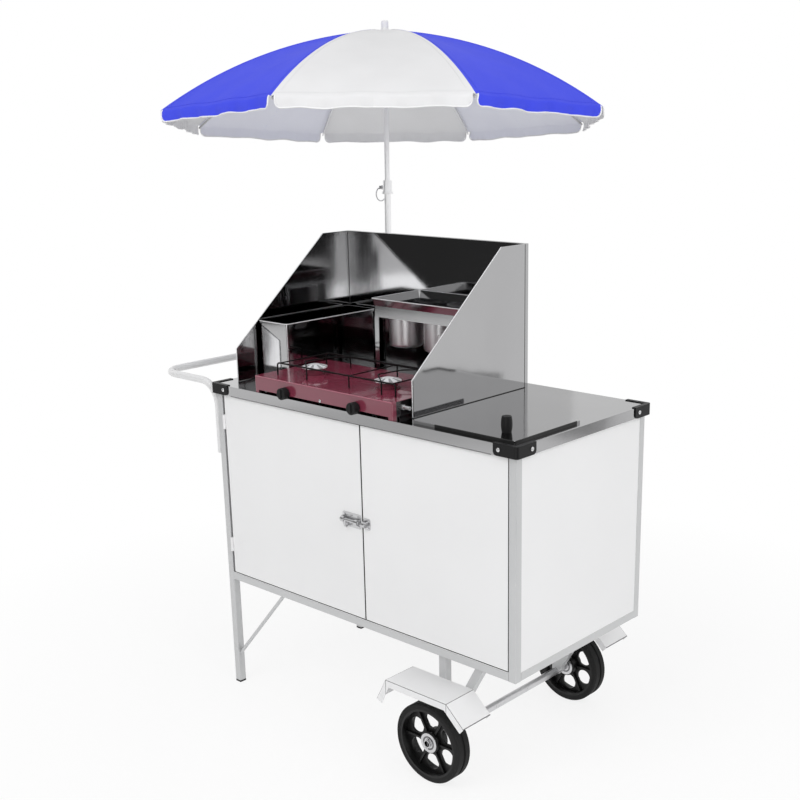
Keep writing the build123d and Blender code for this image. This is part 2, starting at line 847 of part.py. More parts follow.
# Stove: one folded tray on four corner feet
stove_right = stove_left + stove_length
stove_mid = stove_left + stove_length / 2
stove_top = counter_height + stove_height
burner_y = stove_front + burner_setback
burner_points = ((stove_mid - burner_spread, burner_y), (stove_mid + burner_spread, burner_y))
manifold_z = stove_top - manifold_drop
knob_z = stove_top - knob_drop
knob_points = ((stove_mid - knob_spread, knob_z), (stove_mid + knob_spread, knob_z))
with BuildPart() as stove_body:
    with BuildSketch(Plane.XY.offset(counter_height)):
        with Locations((stove_mid, stove_front + stove_depth / 2)):
            RectangleRounded(stove_length, stove_depth, stove_edge)
    extrude(amount=stove_height)
    fillet(stove_body.faces().sort_by(Axis.Z)[-1].edges(), stove_edge / 2)
    with BuildSketch(Plane.XY.offset(counter_height)):
        with Locations((stove_mid, stove_front + stove_depth / 2)):
            RectangleRounded(
                stove_length - 2 * stove_sheet,
                stove_depth - 2 * stove_sheet,
                stove_edge - stove_sheet,
            )
    extrude(amount=stove_height - stove_sheet, mode=Mode.SUBTRACT)
    with BuildSketch(Plane.XZ.offset(-stove_front)):
        with Locations((stove_mid, counter_height)):
            Rectangle(stove_length - 2 * stove_foot, stove_slot, align=(Align.CENTER, Align.MIN))
    extrude(amount=-stove_depth, mode=Mode.SUBTRACT)
    with BuildSketch(Plane.YZ.offset(stove_left)):
        with Locations((stove_front + stove_depth / 2, counter_height)):
            Rectangle(stove_depth - 2 * stove_foot, stove_slot, align=(Align.CENTER, Align.MIN))
    extrude(amount=stove_length, mode=Mode.SUBTRACT)
    with BuildSketch(Plane.XY.offset(stove_top)):
        with Locations(*burner_points):
            Circle(burner_hole)
    extrude(amount=-2 * stove_sheet, mode=Mode.SUBTRACT)
    with BuildSketch(Plane.XZ.offset(-stove_front)):
        with Locations(*knob_points):
            Circle(stem_radius + stem_hole_clearance)
    extrude(amount=-2 * stove_sheet, mode=Mode.SUBTRACT)
    with BuildSketch(Plane.YZ.offset(stove_right)):
        with Locations((manifold_y, manifold_z)):
            Circle(manifold_radius + burner_clearance)
    extrude(amount=-2 * stove_sheet, mode=Mode.SUBTRACT)
save(stove_body.part, "stove_body")


def burner(point):
    """A cast cup hung in the stove top, and the notched cap that lies on it."""
    seat = Plane(origin=(*point, stove_top), x_dir=(1, 0, 0), z_dir=(0, -1, 0))
    upright = Axis(seat.origin, (0, 0, 1))
    cap_base = burner_flange + burner_head
    with BuildPart() as cup:
        with BuildSketch(seat):
            with BuildLine():
                Polyline(
                    (0, -burner_cup_depth),
                    (burner_head_radius, -burner_cup_depth),
                    (burner_hole - burner_clearance, 0),
                    (burner_flange_radius, 0),
                    (burner_flange_radius, burner_flange),
                    (burner_head_radius, burner_flange),
                    (burner_head_radius, cap_base),
                    (0, cap_base),
                    close=True,
                )
            make_face()
        revolve(axis=upright)
    with BuildPart() as cap:
        with BuildSketch(seat):
            with BuildLine():
                Polyline(
                    (0, cap_base),
                    (burner_cap_radius, cap_base),
                    (burner_cap_radius, cap_base + burner_cap / 3),
                    (burner_crown_radius, cap_base + burner_cap),
                    (0, cap_base + burner_cap),
                    close=True,
                )
            make_face()
        revolve(axis=upright)
        with BuildSketch(Plane.XY.offset(stove_top + cap_base)):
            with Locations(point):
                with PolarLocations(burner_cap_radius, burner_cap_notches):
                    Rectangle(2 * notch_depth, notch_width)
        extrude(amount=burner_cap, mode=Mode.SUBTRACT)
    return cup.part, cap.part


save(Compound(children=[piece for point in burner_points for piece in burner(point)]), "burners")

# Gas pipe inside the stove with two valves, their stems and the hose nozzle
with BuildPart() as gas_manifold:
    with BuildSketch(Plane.YZ.offset(stove_left + manifold_start)):
        with Locations((manifold_y, manifold_z)):
            Circle(manifold_radius)
    extrude(amount=stove_length - manifold_start)
    valve_depth = manifold_y - stove_front - stove_sheet
    with BuildSketch(Plane.XZ.offset(-manifold_y)):
        with Locations(*knob_points):
            Rectangle(valve_width, valve_height)
    extrude(amount=valve_depth)
    with BuildSketch(Plane.XZ.offset(-manifold_y)):
        with Locations(*knob_points):
            Circle(stem_radius)
    extrude(amount=manifold_y - stove_front + stem_reach)
    nozzle_step = nozzle_reach / 3
    with BuildSketch(Plane(origin=(stove_right, manifold_y, manifold_z), z_dir=(0, -1, 0), x_dir=(1, 0, 0))):
        with BuildLine():
            Polyline(
                (0, 0),
                (0, manifold_radius),
                (nozzle_step, manifold_radius),
                (nozzle_step, nozzle_radius),
                (nozzle_reach, nozzle_radius),
                (nozzle_reach, nozzle_bore),
                (nozzle_step, nozzle_bore),
                (nozzle_step, 0),
                close=True,
            )
        make_face()
    revolve(axis=Axis((stove_right, manifold_y, manifold_z), (1, 0, 0)))
save(gas_manifold.part, "gas_manifold")


def stove_knob(point):
    """A round knob with a low grip bar, pushed on its valve stem."""
    back = stove_front - knob_gap
    with BuildPart() as knob:
        with BuildSketch(Plane.XZ.offset(-back)):
            with Locations(point):
                Circle(knob_radius)
        extrude(amount=knob_length)
        fillet(knob.edges().group_by(Axis.Y)[0], knob_edge)
        with BuildSketch(Plane.XZ.offset(knob_length - back)):
            with Locations(point):
                SlotOverall(2 * (knob_radius - 2 * knob_edge), knob_grip_width, rotation=90)
        extrude(amount=knob_grip)
        with BuildSketch(Plane.XZ.offset(-back)):
            with Locations(point):
                Circle(stem_radius + knob_bore_clearance)
        extrude(amount=stem_reach - knob_gap + knob_bore_clearance, mode=Mode.SUBTRACT)
    return knob.part


save(stove_knob(knob_points[0]), "left_knob")
save(stove_knob(knob_points[1]), "right_knob")

# Wire pan support: two long bent wires, straight and bent arms across them, and legs
wire_z = stove_top + burner_flange + burner_head + burner_cap + wire_clearance + wire_radius
wire_ends = (burner_points[0][0] - wire_left, burner_points[1][0] + wire_right)
wire_rows = (burner_y - wire_front, burner_y + wire_back)
arm_inset = wire_bend + wire_radius
arm_starts = (wire_ends[0] + arm_inset, burner_points[1][0] - wire_left, wire_ends[1] - arm_inset)
with BuildPart() as pan_support:
    for row in wire_rows:
        with BuildLine():
            FilletPolyline(
                (wire_ends[0], row, stove_top),
                (wire_ends[0], row, wire_z),
                (wire_ends[1], row, wire_z),
                (wire_ends[1], row, stove_top),
                radius=wire_bend,
            )
        with BuildSketch(Plane.XY.offset(stove_top)):
            with Locations((wire_ends[0], row)):
                Circle(wire_radius)
        sweep()
    with BuildSketch(Plane.XZ.offset(-wire_rows[0])):
        with Locations(*[(arm_x, wire_z) for arm_x in arm_starts]):
            Circle(arm_radius)
    extrude(amount=wire_rows[0] - wire_rows[1])
    for x, y in burner_points:
        bends = [(x + bend_x, y + bend_y, wire_z) for bend_x, bend_y in arm_bends]
        arm_start = Vector(x + arm_front, wire_rows[0], wire_z)
        with BuildLine():
            FilletPolyline(arm_start, *bends, (x + arm_back, wire_rows[1], wire_z), radius=wire_bend)
        with BuildSketch(Plane(origin=arm_start, z_dir=Vector(*bends[0]) - arm_start)):
            Circle(arm_radius)
        sweep()
    leg_points = [(arm_starts[1], row) for row in wire_rows]
    for x, y in burner_points:
        leg_points += [(x + arm_front, wire_rows[0]), (x + arm_back, wire_rows[1])]
    with BuildSketch(Plane.XY.offset(stove_top)):
        with Locations(*leg_points):
            Circle(leg_radius)
    extrude(amount=wire_z - stove_top)
save(pan_support.part, "pan_support")

# Open bin with a folded hem
with BuildPart() as side_bin:
    bin_mid = (bin_left + bin_length / 2, bin_front + bin_width / 2)
    bin_inside = (bin_length - 2 * bin_hem, bin_width - 2 * bin_hem, bin_corner - bin_hem)
    with BuildSketch(Plane.XY.offset(counter_height)):
        with Locations(bin_mid):
            RectangleRounded(*bin_inside)
    extrude(amount=bin_height)
    with BuildSketch(Plane.XY.offset(counter_height + bin_height)):
        with Locations(bin_mid):
            RectangleRounded(bin_length, bin_width, bin_corner)
    extrude(amount=-2 * bin_hem)
    with BuildSketch(Plane.XY.offset(counter_height + bin_sheet)):
        with Locations(bin_mid):
            RectangleRounded(
                bin_inside[0] - 2 * bin_sheet,
                bin_inside[1] - 2 * bin_sheet,
                bin_inside[2] - bin_sheet,
            )
    extrude(amount=bin_height, mode=Mode.SUBTRACT)
save(side_bin.part, "side_bin")

# Pot rack: an open tray with a flared lip, two pot holes in its floor, four angle legs
rack_top = counter_height + rack_height
rack_ledge = rack_top - rack_lip
rack_floor = rack_ledge - rack_wall
pot_seat = rack_floor + rack_sheet
rack_mid = (rack_left + rack_length / 2, rack_front + rack_width / 2)
pot_y = rack_front + pot_setback
pot_points = ((pot_centre - pot_spread, pot_y), (pot_centre + pot_spread, pot_y))
wall_length = rack_length - 2 * rack_step
wall_width = rack_width - 2 * rack_step
lip_flare = degrees(atan2(rack_step, rack_lip))
lip_wall = hypot(rack_sheet, rack_sheet * rack_step / rack_lip)
wall_corner = rack_corner - rack_step
with BuildPart() as pot_rack:
    with BuildSketch(Plane.XY.offset(rack_top)):
        with Locations(rack_mid):
            RectangleRounded(rack_length, rack_width, rack_corner)
    extrude(amount=-rack_lip, taper=lip_flare)
    with BuildSketch(Plane.XY.offset(rack_ledge)):
        with Locations(rack_mid):
            RectangleRounded(wall_length, wall_width, wall_corner)
    extrude(amount=-rack_wall)
    with BuildSketch(Plane.XY.offset(rack_top)):
        with Locations(rack_mid):
            RectangleRounded(rack_length - 2 * lip_wall, rack_width - 2 * lip_wall, rack_corner - lip_wall)
    extrude(amount=-rack_lip, taper=lip_flare, mode=Mode.SUBTRACT)
    with BuildSketch(Plane.XY.offset(rack_ledge)):
        with Locations(rack_mid):
            RectangleRounded(wall_length - 2 * lip_wall, wall_width - 2 * lip_wall, wall_corner - lip_wall)
    extrude(amount=rack_sheet - rack_wall, mode=Mode.SUBTRACT)
    with BuildSketch(Plane.XY.offset(rack_floor)):
        with Locations(*pot_points):
            Circle(pot_radius + pot_clearance)
    extrude(amount=rack_sheet, mode=Mode.SUBTRACT)
    with BuildSketch(Plane.XY.offset(counter_height)):
        with Locations(rack_mid):
            Rectangle(wall_length, wall_width)
            Rectangle(
                wall_length - 2 * rack_leg_sheet,
                wall_width - 2 * rack_leg_sheet,
                mode=Mode.SUBTRACT,
            )
            Rectangle(wall_length - 2 * rack_leg, wall_width, mode=Mode.SUBTRACT)
            Rectangle(wall_length, wall_width - 2 * rack_leg, mode=Mode.SUBTRACT)
    extrude(amount=rack_floor - counter_height)
save(pot_rack.part, "pot_rack")


def pot(point):
    """A straight pot hung by its rim."""
    hang = Plane(origin=(*point, pot_seat), x_dir=(1, 0, 0), z_dir=(0, -1, 0))
    inside = pot_radius - pot_sheet
    base = pot_base_radius
    with BuildPart() as vessel:
        with BuildSketch(hang) as profile:
            with BuildLine():
                Polyline(
                    (0, -pot_height),
                    (pot_radius, -pot_height),
                    (pot_radius, 0),
                    (pot_radius + pot_rim, 0),
                    (pot_radius + pot_rim, pot_sheet),
                    (inside, pot_sheet),
                    (inside, pot_sheet - pot_height),
                    (0, pot_sheet - pot_height),
                    close=True,
                )
            make_face()
            base_corner = profile.vertices().sort_by_distance((pot_radius, -pot_height, 0))[0]
            fillet(base_corner, base)
            floor_corner = profile.vertices().sort_by_distance((inside, pot_sheet - pot_height, 0))[0]
            fillet(floor_corner, base - pot_sheet)
        revolve(axis=Axis(hang.origin, (0, 0, 1)))
    return vessel.part


save(pot(pot_points[0]), "left_pot")
save(pot(pot_points[1]), "right_pot")

# Well hung in the counter by its flange
with BuildPart() as well_tub:
    with BuildSketch(Plane.XY.offset(counter_height)):
        with Locations(well_mid):
            RectangleRounded(
                well_length + 2 * well_flange,
                well_width + 2 * well_flange,
                well_corner + well_flange,
            )
    extrude(amount=well_sheet)
    with BuildSketch(Plane.XY.offset(counter_height)):
        with Locations(well_mid):
            RectangleRounded(
                well_length - 2 * well_clearance,
                well_width - 2 * well_clearance,
                well_corner - well_clearance,
            )
    extrude(amount=-well_depth)
    well_wall = well_clearance + well_sheet
    with BuildSketch(Plane.XY.offset(counter_height + well_sheet)):
        with Locations(well_mid):
            RectangleRounded(
                well_length - 2 * well_wall,
                well_width - 2 * well_wall,
                well_corner - well_wall,
            )
    extrude(amount=-well_depth, mode=Mode.SUBTRACT)
save(well_tub.part, "well_tub")

# Lift-off lid and its barrel knob
lid_top = counter_height + lid_height
with BuildPart() as lid_inside:
    with BuildSketch(Plane.XY.offset(counter_height)):
        with Locations(well_mid):
            RectangleRounded(
                lid_length - 2 * lid_sheet,
                lid_width - 2 * lid_sheet,
                lid_corner - lid_sheet,
            )
    extrude(amount=lid_height - lid_sheet)
    fillet(lid_inside.faces().sort_by(Axis.Z)[-1].edges(), lid_edge - lid_sheet)
with BuildPart() as well_lid:
    with BuildSketch(Plane.XY.offset(counter_height)):
        with Locations(well_mid):
            RectangleRounded(lid_length, lid_width, lid_corner)
    extrude(amount=lid_height)
    fillet(well_lid.faces().sort_by(Axis.Z)[-1].edges(), lid_edge)
    add(lid_inside.part, mode=Mode.SUBTRACT)
save(well_lid.part, "well_lid")

with BuildPart() as lid_knob:
    knob_seat = Plane(origin=(lid_knob_x, lid_knob_y, lid_top), x_dir=(1, 0, 0), z_dir=(0, -1, 0))
    with BuildSketch(knob_seat):
        with BuildLine():
            Line((0, 0), (lid_knob_end, 0))
            ThreePointArc(
                (lid_knob_end, 0),
                (lid_knob_radius, lid_knob_height / 2),
                (lid_knob_end, lid_knob_height),
            )
            Polyline((lid_knob_end, lid_knob_height), (0, lid_knob_height), (0, 0))
        make_face()
    revolve(axis=Axis(knob_seat.origin, (0, 0, 1)))
    fillet(lid_knob.faces().sort_by(Axis.Z)[-1].edges(), lid_knob_round)
save(lid_knob.part, "lid_knob")

# Frame of the umbrella: its axis leans to the left and to the back
lean = Vector(-lean_left, lean_back, 1).normalized()
across = (Vector(1, 0, 0) - lean * lean.X).normalized()
umbrella = Plane(origin=(seat_x, seat_y, seat_z), x_dir=across, z_dir=lean)
pole_axis = Axis(umbrella.origin, lean)
pin_plane = Plane(
    origin=umbrella.from_local_coords(Vector(0, 0, pin_level)),
    x_dir=umbrella.y_dir,
    z_dir=-umbrella.x_dir,
)


def turned_plane(index):
    """The umbrella's plane, turned so that x points along rib number index."""
    turn = radians(first_rib_angle + index * 360 / gore_count)
    outward = umbrella.x_dir * cos(turn) + umbrella.y_dir * sin(turn)
    return Plane(origin=umbrella.origin, x_dir=outward, z_dir=umbrella.z_dir)


def radial_plane(index, side=0):
    """Plane of one rib: x runs outward, y along the pole, set off sideways by side."""
    turned = turned_plane(index)
    return Plane(origin=turned.origin + turned.y_dir * side, x_dir=turned.x_dir, z_dir=-turned.y_dir)


# Socket for the pole, on a strap up the back of the frame
with BuildPart() as pole_bracket:
    strap_face = frame_width + half
    with BuildSketch(Plane.XZ.offset(-strap_face)):
        with Locations((seat_x, body_underside)):
            Rectangle(
                strap_width,
                under_top - strap_top_gap - body_underside,
                align=(Align.CENTER, Align.MIN),
            )
    extrude(amount=-strap_thickness)
    with BuildSketch(umbrella.offset(-socket_floor)):
        Circle(lower_pole_radius + pole_clearance + socket_wall)
    extrude(amount=socket_height + socket_floor)
    for lug_rise in (lug_height / 2, socket_height - lug_height):
        with BuildSketch(Plane.XZ.offset(-strap_face)):
            with Locations((seat_x - lean_left * lug_rise, seat_z + lug_rise)):
                Rectangle(lug_width, lug_height)
        extrude(amount=strap_face - seat_y - lean_back * lug_rise)
    with BuildSketch(umbrella):
        Circle(lower_pole_radius + pole_clearance)
    extrude(amount=socket_height, mode=Mode.SUBTRACT)
save(pole_bracket.part, "pole_bracket")

# Lower pole half and the plastic collar on its top end
collar_top = lower_pole_length + collar_lip
collar_radius = lower_pole_radius + collar_wall
with BuildPart() as lower_tube:
    with BuildSketch(umbrella):
        Circle(lower_pole_radius)
        Circle(lower_pole_bore, mode=Mode.SUBTRACT)
    extrude(amount=lower_pole_length)
    with BuildSketch(pin_plane):
        Circle(pin_radius + pin_clearance)
    extrude(amount=2 * lower_pole_radius, mode=Mode.SUBTRACT)
with BuildPart() as collar:
    with BuildSketch(umbrella.offset(collar_top - collar_height)):
        Circle(collar_radius)
    extrude(amount=collar_height)
    with BuildSketch(umbrella.offset(collar_top - collar_height)):
        Circle(collar_radius + collar_flange)
    extrude(amount=collar_flange_height)
    with BuildSketch(umbrella.offset(collar_top - collar_height)):
        Circle(lower_pole_radius + hub_fit)
    extrude(amount=collar_height - collar_lip, mode=Mode.SUBTRACT)
    with BuildSketch(umbrella.offset(collar_top - collar_height)):
        Circle(upper_pole_radius + pole_clearance)
    extrude(amount=collar_height, mode=Mode.SUBTRACT)
    with BuildSketch(pin_plane):
        Circle(pin_radius + pin_clearance)
    extrude(amount=2 * collar_radius, mode=Mode.SUBTRACT)
save(Compound(children=[lower_tube.part, collar.part]), "lower_pole")

# Ring pull pin, drawn back at rest so that the upper half can slide
pin_tip = upper_pole_radius + pin_tip_gap
pin_head_start = collar_radius + pin_travel + pin_tip_gap
eye_centre = pin_head_start + pin_head + pin_eye / 2
with BuildPart() as pin:
    with BuildSketch(pin_plane.offset(pin_tip)):
        Circle(pin_radius)
    extrude(amount=pin_head_start + pin_head - pin_tip)
    with BuildSketch(pin_plane.offset(pin_head_start)):
        Circle(pin_head_radius)
    extrude(amount=pin_head)
    with BuildSketch(pin_plane.offset(pin_head_start)):
        Rectangle(pin_eye_thickness, pin_eye)
    extrude(amount=pin_head + pin_eye)
    eye_plane = Plane(
        origin=pin_plane.from_local_coords(Vector(0, 0, eye_centre)),
        x_dir=umbrella.x_dir,
        z_dir=umbrella.y_dir,
    )
    with BuildSketch(eye_plane):
        Circle(pin_eye_bore)
    extrude(amount=pin_eye, both=True, mode=Mode.SUBTRACT)
ring_plane = Plane(
    origin=pin_plane.from_local_coords(Vector(0, ring_radius + ring_hang, eye_centre)),
    x_dir=pin_plane.x_dir,
    z_dir=pin_plane.z_dir,
)
with BuildPart(ring_plane) as pull_ring:
    Torus(ring_radius, ring_wire)
save(Compound(children=[pin.part, pull_ring.part]), "lock_pin")

# The ribs follow one arc under the cloth; each stretcher is as long as the part of
# the rib that it holds, so both turn by the same angle as the runner slides
chord = hypot(canopy_radius, canopy_rise)
arc_radius = chord / 2 / sin(radians(canopy_bulge))
arc_drop = arc_radius * cos(radians(canopy_bulge)) / chord
arc_r = canopy_radius / 2 - arc_drop * canopy_rise
arc_u = canopy_rim + canopy_rise / 2 - arc_drop * canopy_radius
rib_arc = arc_radius - canopy_cloth - rib_cloth_gap - rib_depth / 2
pivot_turn = acos((pivot_circle - arc_r) / rib_arc)
pivot_u = arc_u + rib_arc * sin(pivot_turn)
joint_turn = pivot_turn - 2 * asin(stretcher_reach / 2 / rib_arc)
joint_r = arc_r + rib_arc * cos(joint_turn)
joint_u = arc_u + rib_arc * sin(joint_turn)
runner_u = 2 * joint_u - pivot_u
stretcher_angle = degrees(asin((pivot_u - joint_u) / stretcher_reach))
tip_turn = acos((canopy_radius - rib_tip_gap - arc_r) / rib_arc)
stretcher_side = rib_thickness / 2 + stretcher_gap + stretcher_thickness / 2


def canopy_level(radius):
    """Height of the cloth's outer face above the pole seat, along a rib."""
    return arc_u + sqrt(arc_radius**2 - (radius - arc_r) ** 2)


# Upper pole half with its row of pin holes
with BuildPart() as upper_pole:
    with BuildSketch(umbrella.offset(upper_pole_start)):
        Circle(upper_pole_radius)
        Circle(upper_pole_bore, mode=Mode.SUBTRACT)
    extrude(amount=pivot_u - upper_pole_start)
    with BuildSketch(pin_plane):
        with Locations(*[(0, step * pin_hole_pitch) for step in range(pin_hole_count)]):
            Circle(pin_radius + pin_clearance)
    extrude(amount=2 * upper_pole_radius, both=True, mode=Mode.SUBTRACT)
save(upper_pole.part, "upper_pole")


def notched_disc(level, sleeve, bore, bore_depth, slot, side):
    """A slotted flange with a pin across each slot, on a sleeve round the pole."""
    with BuildPart() as disc:
        with BuildSketch(umbrella.offset(level - hub_flange / 2)):
            Circle(hub_flange_radius)
        extrude(amount=hub_flange)
        with BuildSketch(umbrella.offset(level - sleeve)):
            Circle(hub_sleeve_radius)
        extrude(amount=sleeve)
        with BuildSketch(umbrella.offset(level - sleeve)):
            Circle(bore)
        extrude(amount=bore_depth, mode=Mode.SUBTRACT)
        for index in range(gore_count):
            with BuildSketch(radial_plane(index, side)):
                with Locations((hub_core, level)):
                    Rectangle(hub_flange_radius, 2 * hub_flange, align=(Align.MIN, Align.CENTER))
            extrude(amount=slot / 2, both=True, mode=Mode.SUBTRACT)
        for index in range(gore_count):
            with BuildSketch(radial_plane(index, side)):
                with Locations((pivot_circle, level)):
                    Circle(pivot_pin)
            extrude(amount=slot / 2 + pivot_pin, both=True)
    return disc.part


rib_slot = rib_thickness + 2 * slot_clearance
stretcher_slot = stretcher_thickness + 2 * slot_clearance
save(notched_disc(pivot_u, hub_sleeve, upper_pole_radius + hub_fit, hub_sleeve, rib_slot, 0), "rib_hub")

with BuildPart() as runner:
    runner_bore = upper_pole_radius + pole_clearance
    runner_foot = hub_flange / 2 + runner_sleeve
    add(notched_disc(runner_u, runner_foot, runner_bore, 2 * runner_foot, stretcher_slot, stretcher_side))
    with BuildSketch(umbrella.offset(runner_u - runner_foot)):
        Circle(runner_lip_radius)
        Circle(runner_bore, mode=Mode.SUBTRACT)
    extrude(amount=runner_lip)
save(runner.part, "runner")


def rib(index):
    """A flat curved rib with the eye that turns on the hub's pin."""
    spine = CenterArc((arc_r, arc_u), rib_arc, degrees(tip_turn), degrees(pivot_turn - tip_turn))
    with BuildPart() as blade:
        with BuildSketch(radial_plane(index)):
            SlotArc(spine, rib_depth)
            with Locations((pivot_circle, pivot_u)):
                Circle(rib_eye)
                Circle(pivot_pin + pivot_clearance, mode=Mode.SUBTRACT)
        extrude(amount=rib_thickness / 2, both=True)
    return blade.part


def stretcher(index):
    """A straight strut from the runner's pin to its joint beside the rib."""
    ends = ((pivot_circle, runner_u), (joint_r, joint_u))
    middle = ((pivot_circle + joint_r) / 2, (runner_u + joint_u) / 2)
    with BuildPart() as strip:
        with BuildSketch(radial_plane(index, stretcher_side)):
            with Locations(middle):
                SlotCenterToCenter(stretcher_reach, stretcher_depth, rotation=stretcher_angle)
            with Locations(*ends):
                Circle(stretcher_eye)
                Circle(pivot_pin + pivot_clearance, mode=Mode.SUBTRACT)
        extrude(amount=stretcher_thickness / 2, both=True)
    return strip.part


for index in range(gore_count):
    save(rib(index), f"rib_{index + 1}")
    save(stretcher(index), f"stretcher_{index + 1}")

# Cloth canopy of flat gores, with a hanging flap along each gore's edge
crown_level = canopy_level(canopy_crown_radius)
canopy_step = (canopy_radius - canopy_crown_radius) / (canopy_steps - 1)
canopy_radii = [canopy_crown_radius + step * canopy_step for step in range(canopy_steps)]
gore_edge = 2 * canopy_radius * sin(radians(180 / gore_count))
with BuildPart() as canopy:
    for radius in canopy_radii:
        with BuildSketch(umbrella.offset(canopy_level(radius))):
            RegularPolygon(radius, gore_count, rotation=first_rib_angle, align=None)
    loft(ruled=True)
    for radius in canopy_radii:
        with BuildSketch(umbrella.offset(canopy_level(radius) - canopy_cloth)):
            RegularPolygon(radius, gore_count, rotation=first_rib_angle, align=None)
    loft(ruled=True, mode=Mode.SUBTRACT)
    with BuildSketch(umbrella.offset(crown_level)):
        Circle(canopy_hole)
    extrude(amount=-canopy_cloth, mode=Mode.SUBTRACT)
    for index in range(gore_count):
        outward = turned_plane(index + 0.5)
        flap_centre = outward.from_local_coords(
            Vector(canopy_radius * cos(radians(180 / gore_count)), 0, canopy_rim)
        )
        with BuildSketch(Plane(origin=flap_centre, x_dir=outward.y_dir, z_dir=outward.x_dir)) as flap:
            Rectangle(gore_edge - 2 * valance_side_gap, valance_drop, align=(Align.CENTER, Align.MAX))
            fillet(flap.vertices().group_by(Axis.Y)[0], valance_corner)
        extrude(amount=-canopy_cloth)
save(canopy.part, "canopy")

# Turned finial whose stem passes through the crown of the cloth
with BuildPart() as finial:
    stem_base = pivot_u + hub_flange / 2
    cap_base = crown_level + finial_seat_gap
    with BuildSketch(radial_plane(0)):
        with Locations((0, stem_base)):
            Rectangle(finial_stem, cap_base - stem_base, align=(Align.MIN, Align.MIN))
        with Locations((0, cap_base)):
            Rectangle(finial_radius, finial_base, align=(Align.MIN, Align.MIN))
            Rectangle(finial_knob, finial_height, align=(Align.MIN, Align.MIN))
    revolve(axis=pole_axis)
    fillet(finial.faces().sort_by(Axis.Z)[-1].edges(), finial_round)
save(finial.part, "finial")

runner_travel = stretcher_reach * 2 * (
    sin(radians(stretcher_angle + fold_angle)) - sin(radians(stretcher_angle))
)
print(f"runner level {runner_u:.3f}, travel {runner_travel:.3f}, rib pivot {pivot_u:.3f}")
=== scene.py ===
"""Street food cart: finishes, cloth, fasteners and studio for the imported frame."""

import json
import math

import bmesh
import bpy
from mathutils import Matrix, Vector


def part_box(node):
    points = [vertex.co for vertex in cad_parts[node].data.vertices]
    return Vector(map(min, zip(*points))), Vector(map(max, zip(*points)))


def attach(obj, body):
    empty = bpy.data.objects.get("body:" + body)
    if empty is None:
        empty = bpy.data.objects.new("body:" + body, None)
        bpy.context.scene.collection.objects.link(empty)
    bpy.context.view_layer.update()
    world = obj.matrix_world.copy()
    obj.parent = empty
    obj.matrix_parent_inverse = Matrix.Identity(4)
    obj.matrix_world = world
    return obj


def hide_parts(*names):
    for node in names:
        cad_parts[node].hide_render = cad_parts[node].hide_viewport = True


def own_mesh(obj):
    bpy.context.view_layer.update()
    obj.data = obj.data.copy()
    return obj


bl_info = {
    "name": "Street Food Cart",
    "version": (1, 0, 0),
    "blender": (4, 5, 0),
    "location": "3D View > Sidebar > Food Cart",
    "description": "Dresses a street food cart with paint, steel, cloth and fasteners",
    "category": "Object",
}

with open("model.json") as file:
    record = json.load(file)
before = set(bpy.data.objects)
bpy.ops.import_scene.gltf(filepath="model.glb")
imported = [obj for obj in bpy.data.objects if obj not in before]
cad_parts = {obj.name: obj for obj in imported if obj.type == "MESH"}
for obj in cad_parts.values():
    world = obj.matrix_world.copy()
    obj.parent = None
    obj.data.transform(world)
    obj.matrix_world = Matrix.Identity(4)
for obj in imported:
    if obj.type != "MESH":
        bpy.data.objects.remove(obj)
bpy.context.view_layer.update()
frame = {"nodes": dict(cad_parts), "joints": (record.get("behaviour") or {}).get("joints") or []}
NODES = frame["nodes"]
JOINTS = {joint["name"]: joint for joint in frame["joints"]}

GORES = 8
# Share of its width that a sheet of cloth keeps in the closed umbrella
GATHER = 0.4
LEAN = Vector(JOINTS["umbrella_swivel"]["axis"])
SEAT = Vector(JOINTS["umbrella_swivel"]["pos_m"])
WHEEL_CENTRE = Vector(JOINTS["front_wheel_spin"]["pos_m"])


# Node trees


class Socket:
    """An output socket; arithmetic on it adds Math nodes to its tree."""

    def __init__(self, tree, output):
        self.tree = tree
        self.output = output

    def maths(self, operation, first, second=None):
        node = self.tree.nodes.new("ShaderNodeMath")
        node.operation = operation
        for slot, value in zip(node.inputs, (first, second)):
            feed(self.tree, slot, value)
        return Socket(self.tree, node.outputs[0])

    def __add__(self, other):
        return self.maths("ADD", self, other)

    def __radd__(self, other):
        return self.maths("ADD", other, self)

    def __sub__(self, other):
        return self.maths("SUBTRACT", self, other)

    def __rsub__(self, other):
        return self.maths("SUBTRACT", other, self)

    def __mul__(self, other):
        return self.maths("MULTIPLY", self, other)

    def __rmul__(self, other):
        return self.maths("MULTIPLY", other, self)

    def __truediv__(self, other):
        return self.maths("DIVIDE", self, other)

    def __pow__(self, other):
        return self.maths("POWER", self, other)

    def __gt__(self, other):
        return self.maths("GREATER_THAN", self, other)

    def __abs__(self):
        return self.maths("ABSOLUTE", self)

    def wave(self):
        return self.maths("SINE", self)

    def most(self, other):
        return self.maths("MAXIMUM", self, other)


def feed(tree, slot, value):
    """Link a socket to an input, or set the input to a plain value."""
    if isinstance(value, Socket):
        tree.links.new(value.output, slot)
    elif value is not None:
        slot.default_value = value


def add_node(tree, kind, settings=None, sockets=None, output=0):
    """Add any node: its settings first, then the values or links of its sockets."""
    node = tree.nodes.new(kind)
    for name, value in (settings or {}).items():
        setattr(node, name, value)
    for name, value in (sockets or {}).items():
        feed(tree, node.inputs[name], value)
    return Socket(tree, node.outputs[output])


def axis_distance(across, along):
    """How far a point is from an axis, from its two coordinates across the axis."""
    return (across * across + along * along) ** 0.5


def seen_directly(tree):
    """1 for a ray from the camera, off gloss or through glass, and 0 for one that lights."""
    rays = [add_node(tree, "ShaderNodeLightPath", output=i) for i in (0, 3, 6)]
    return rays[0].most(rays[1].most(rays[2]))


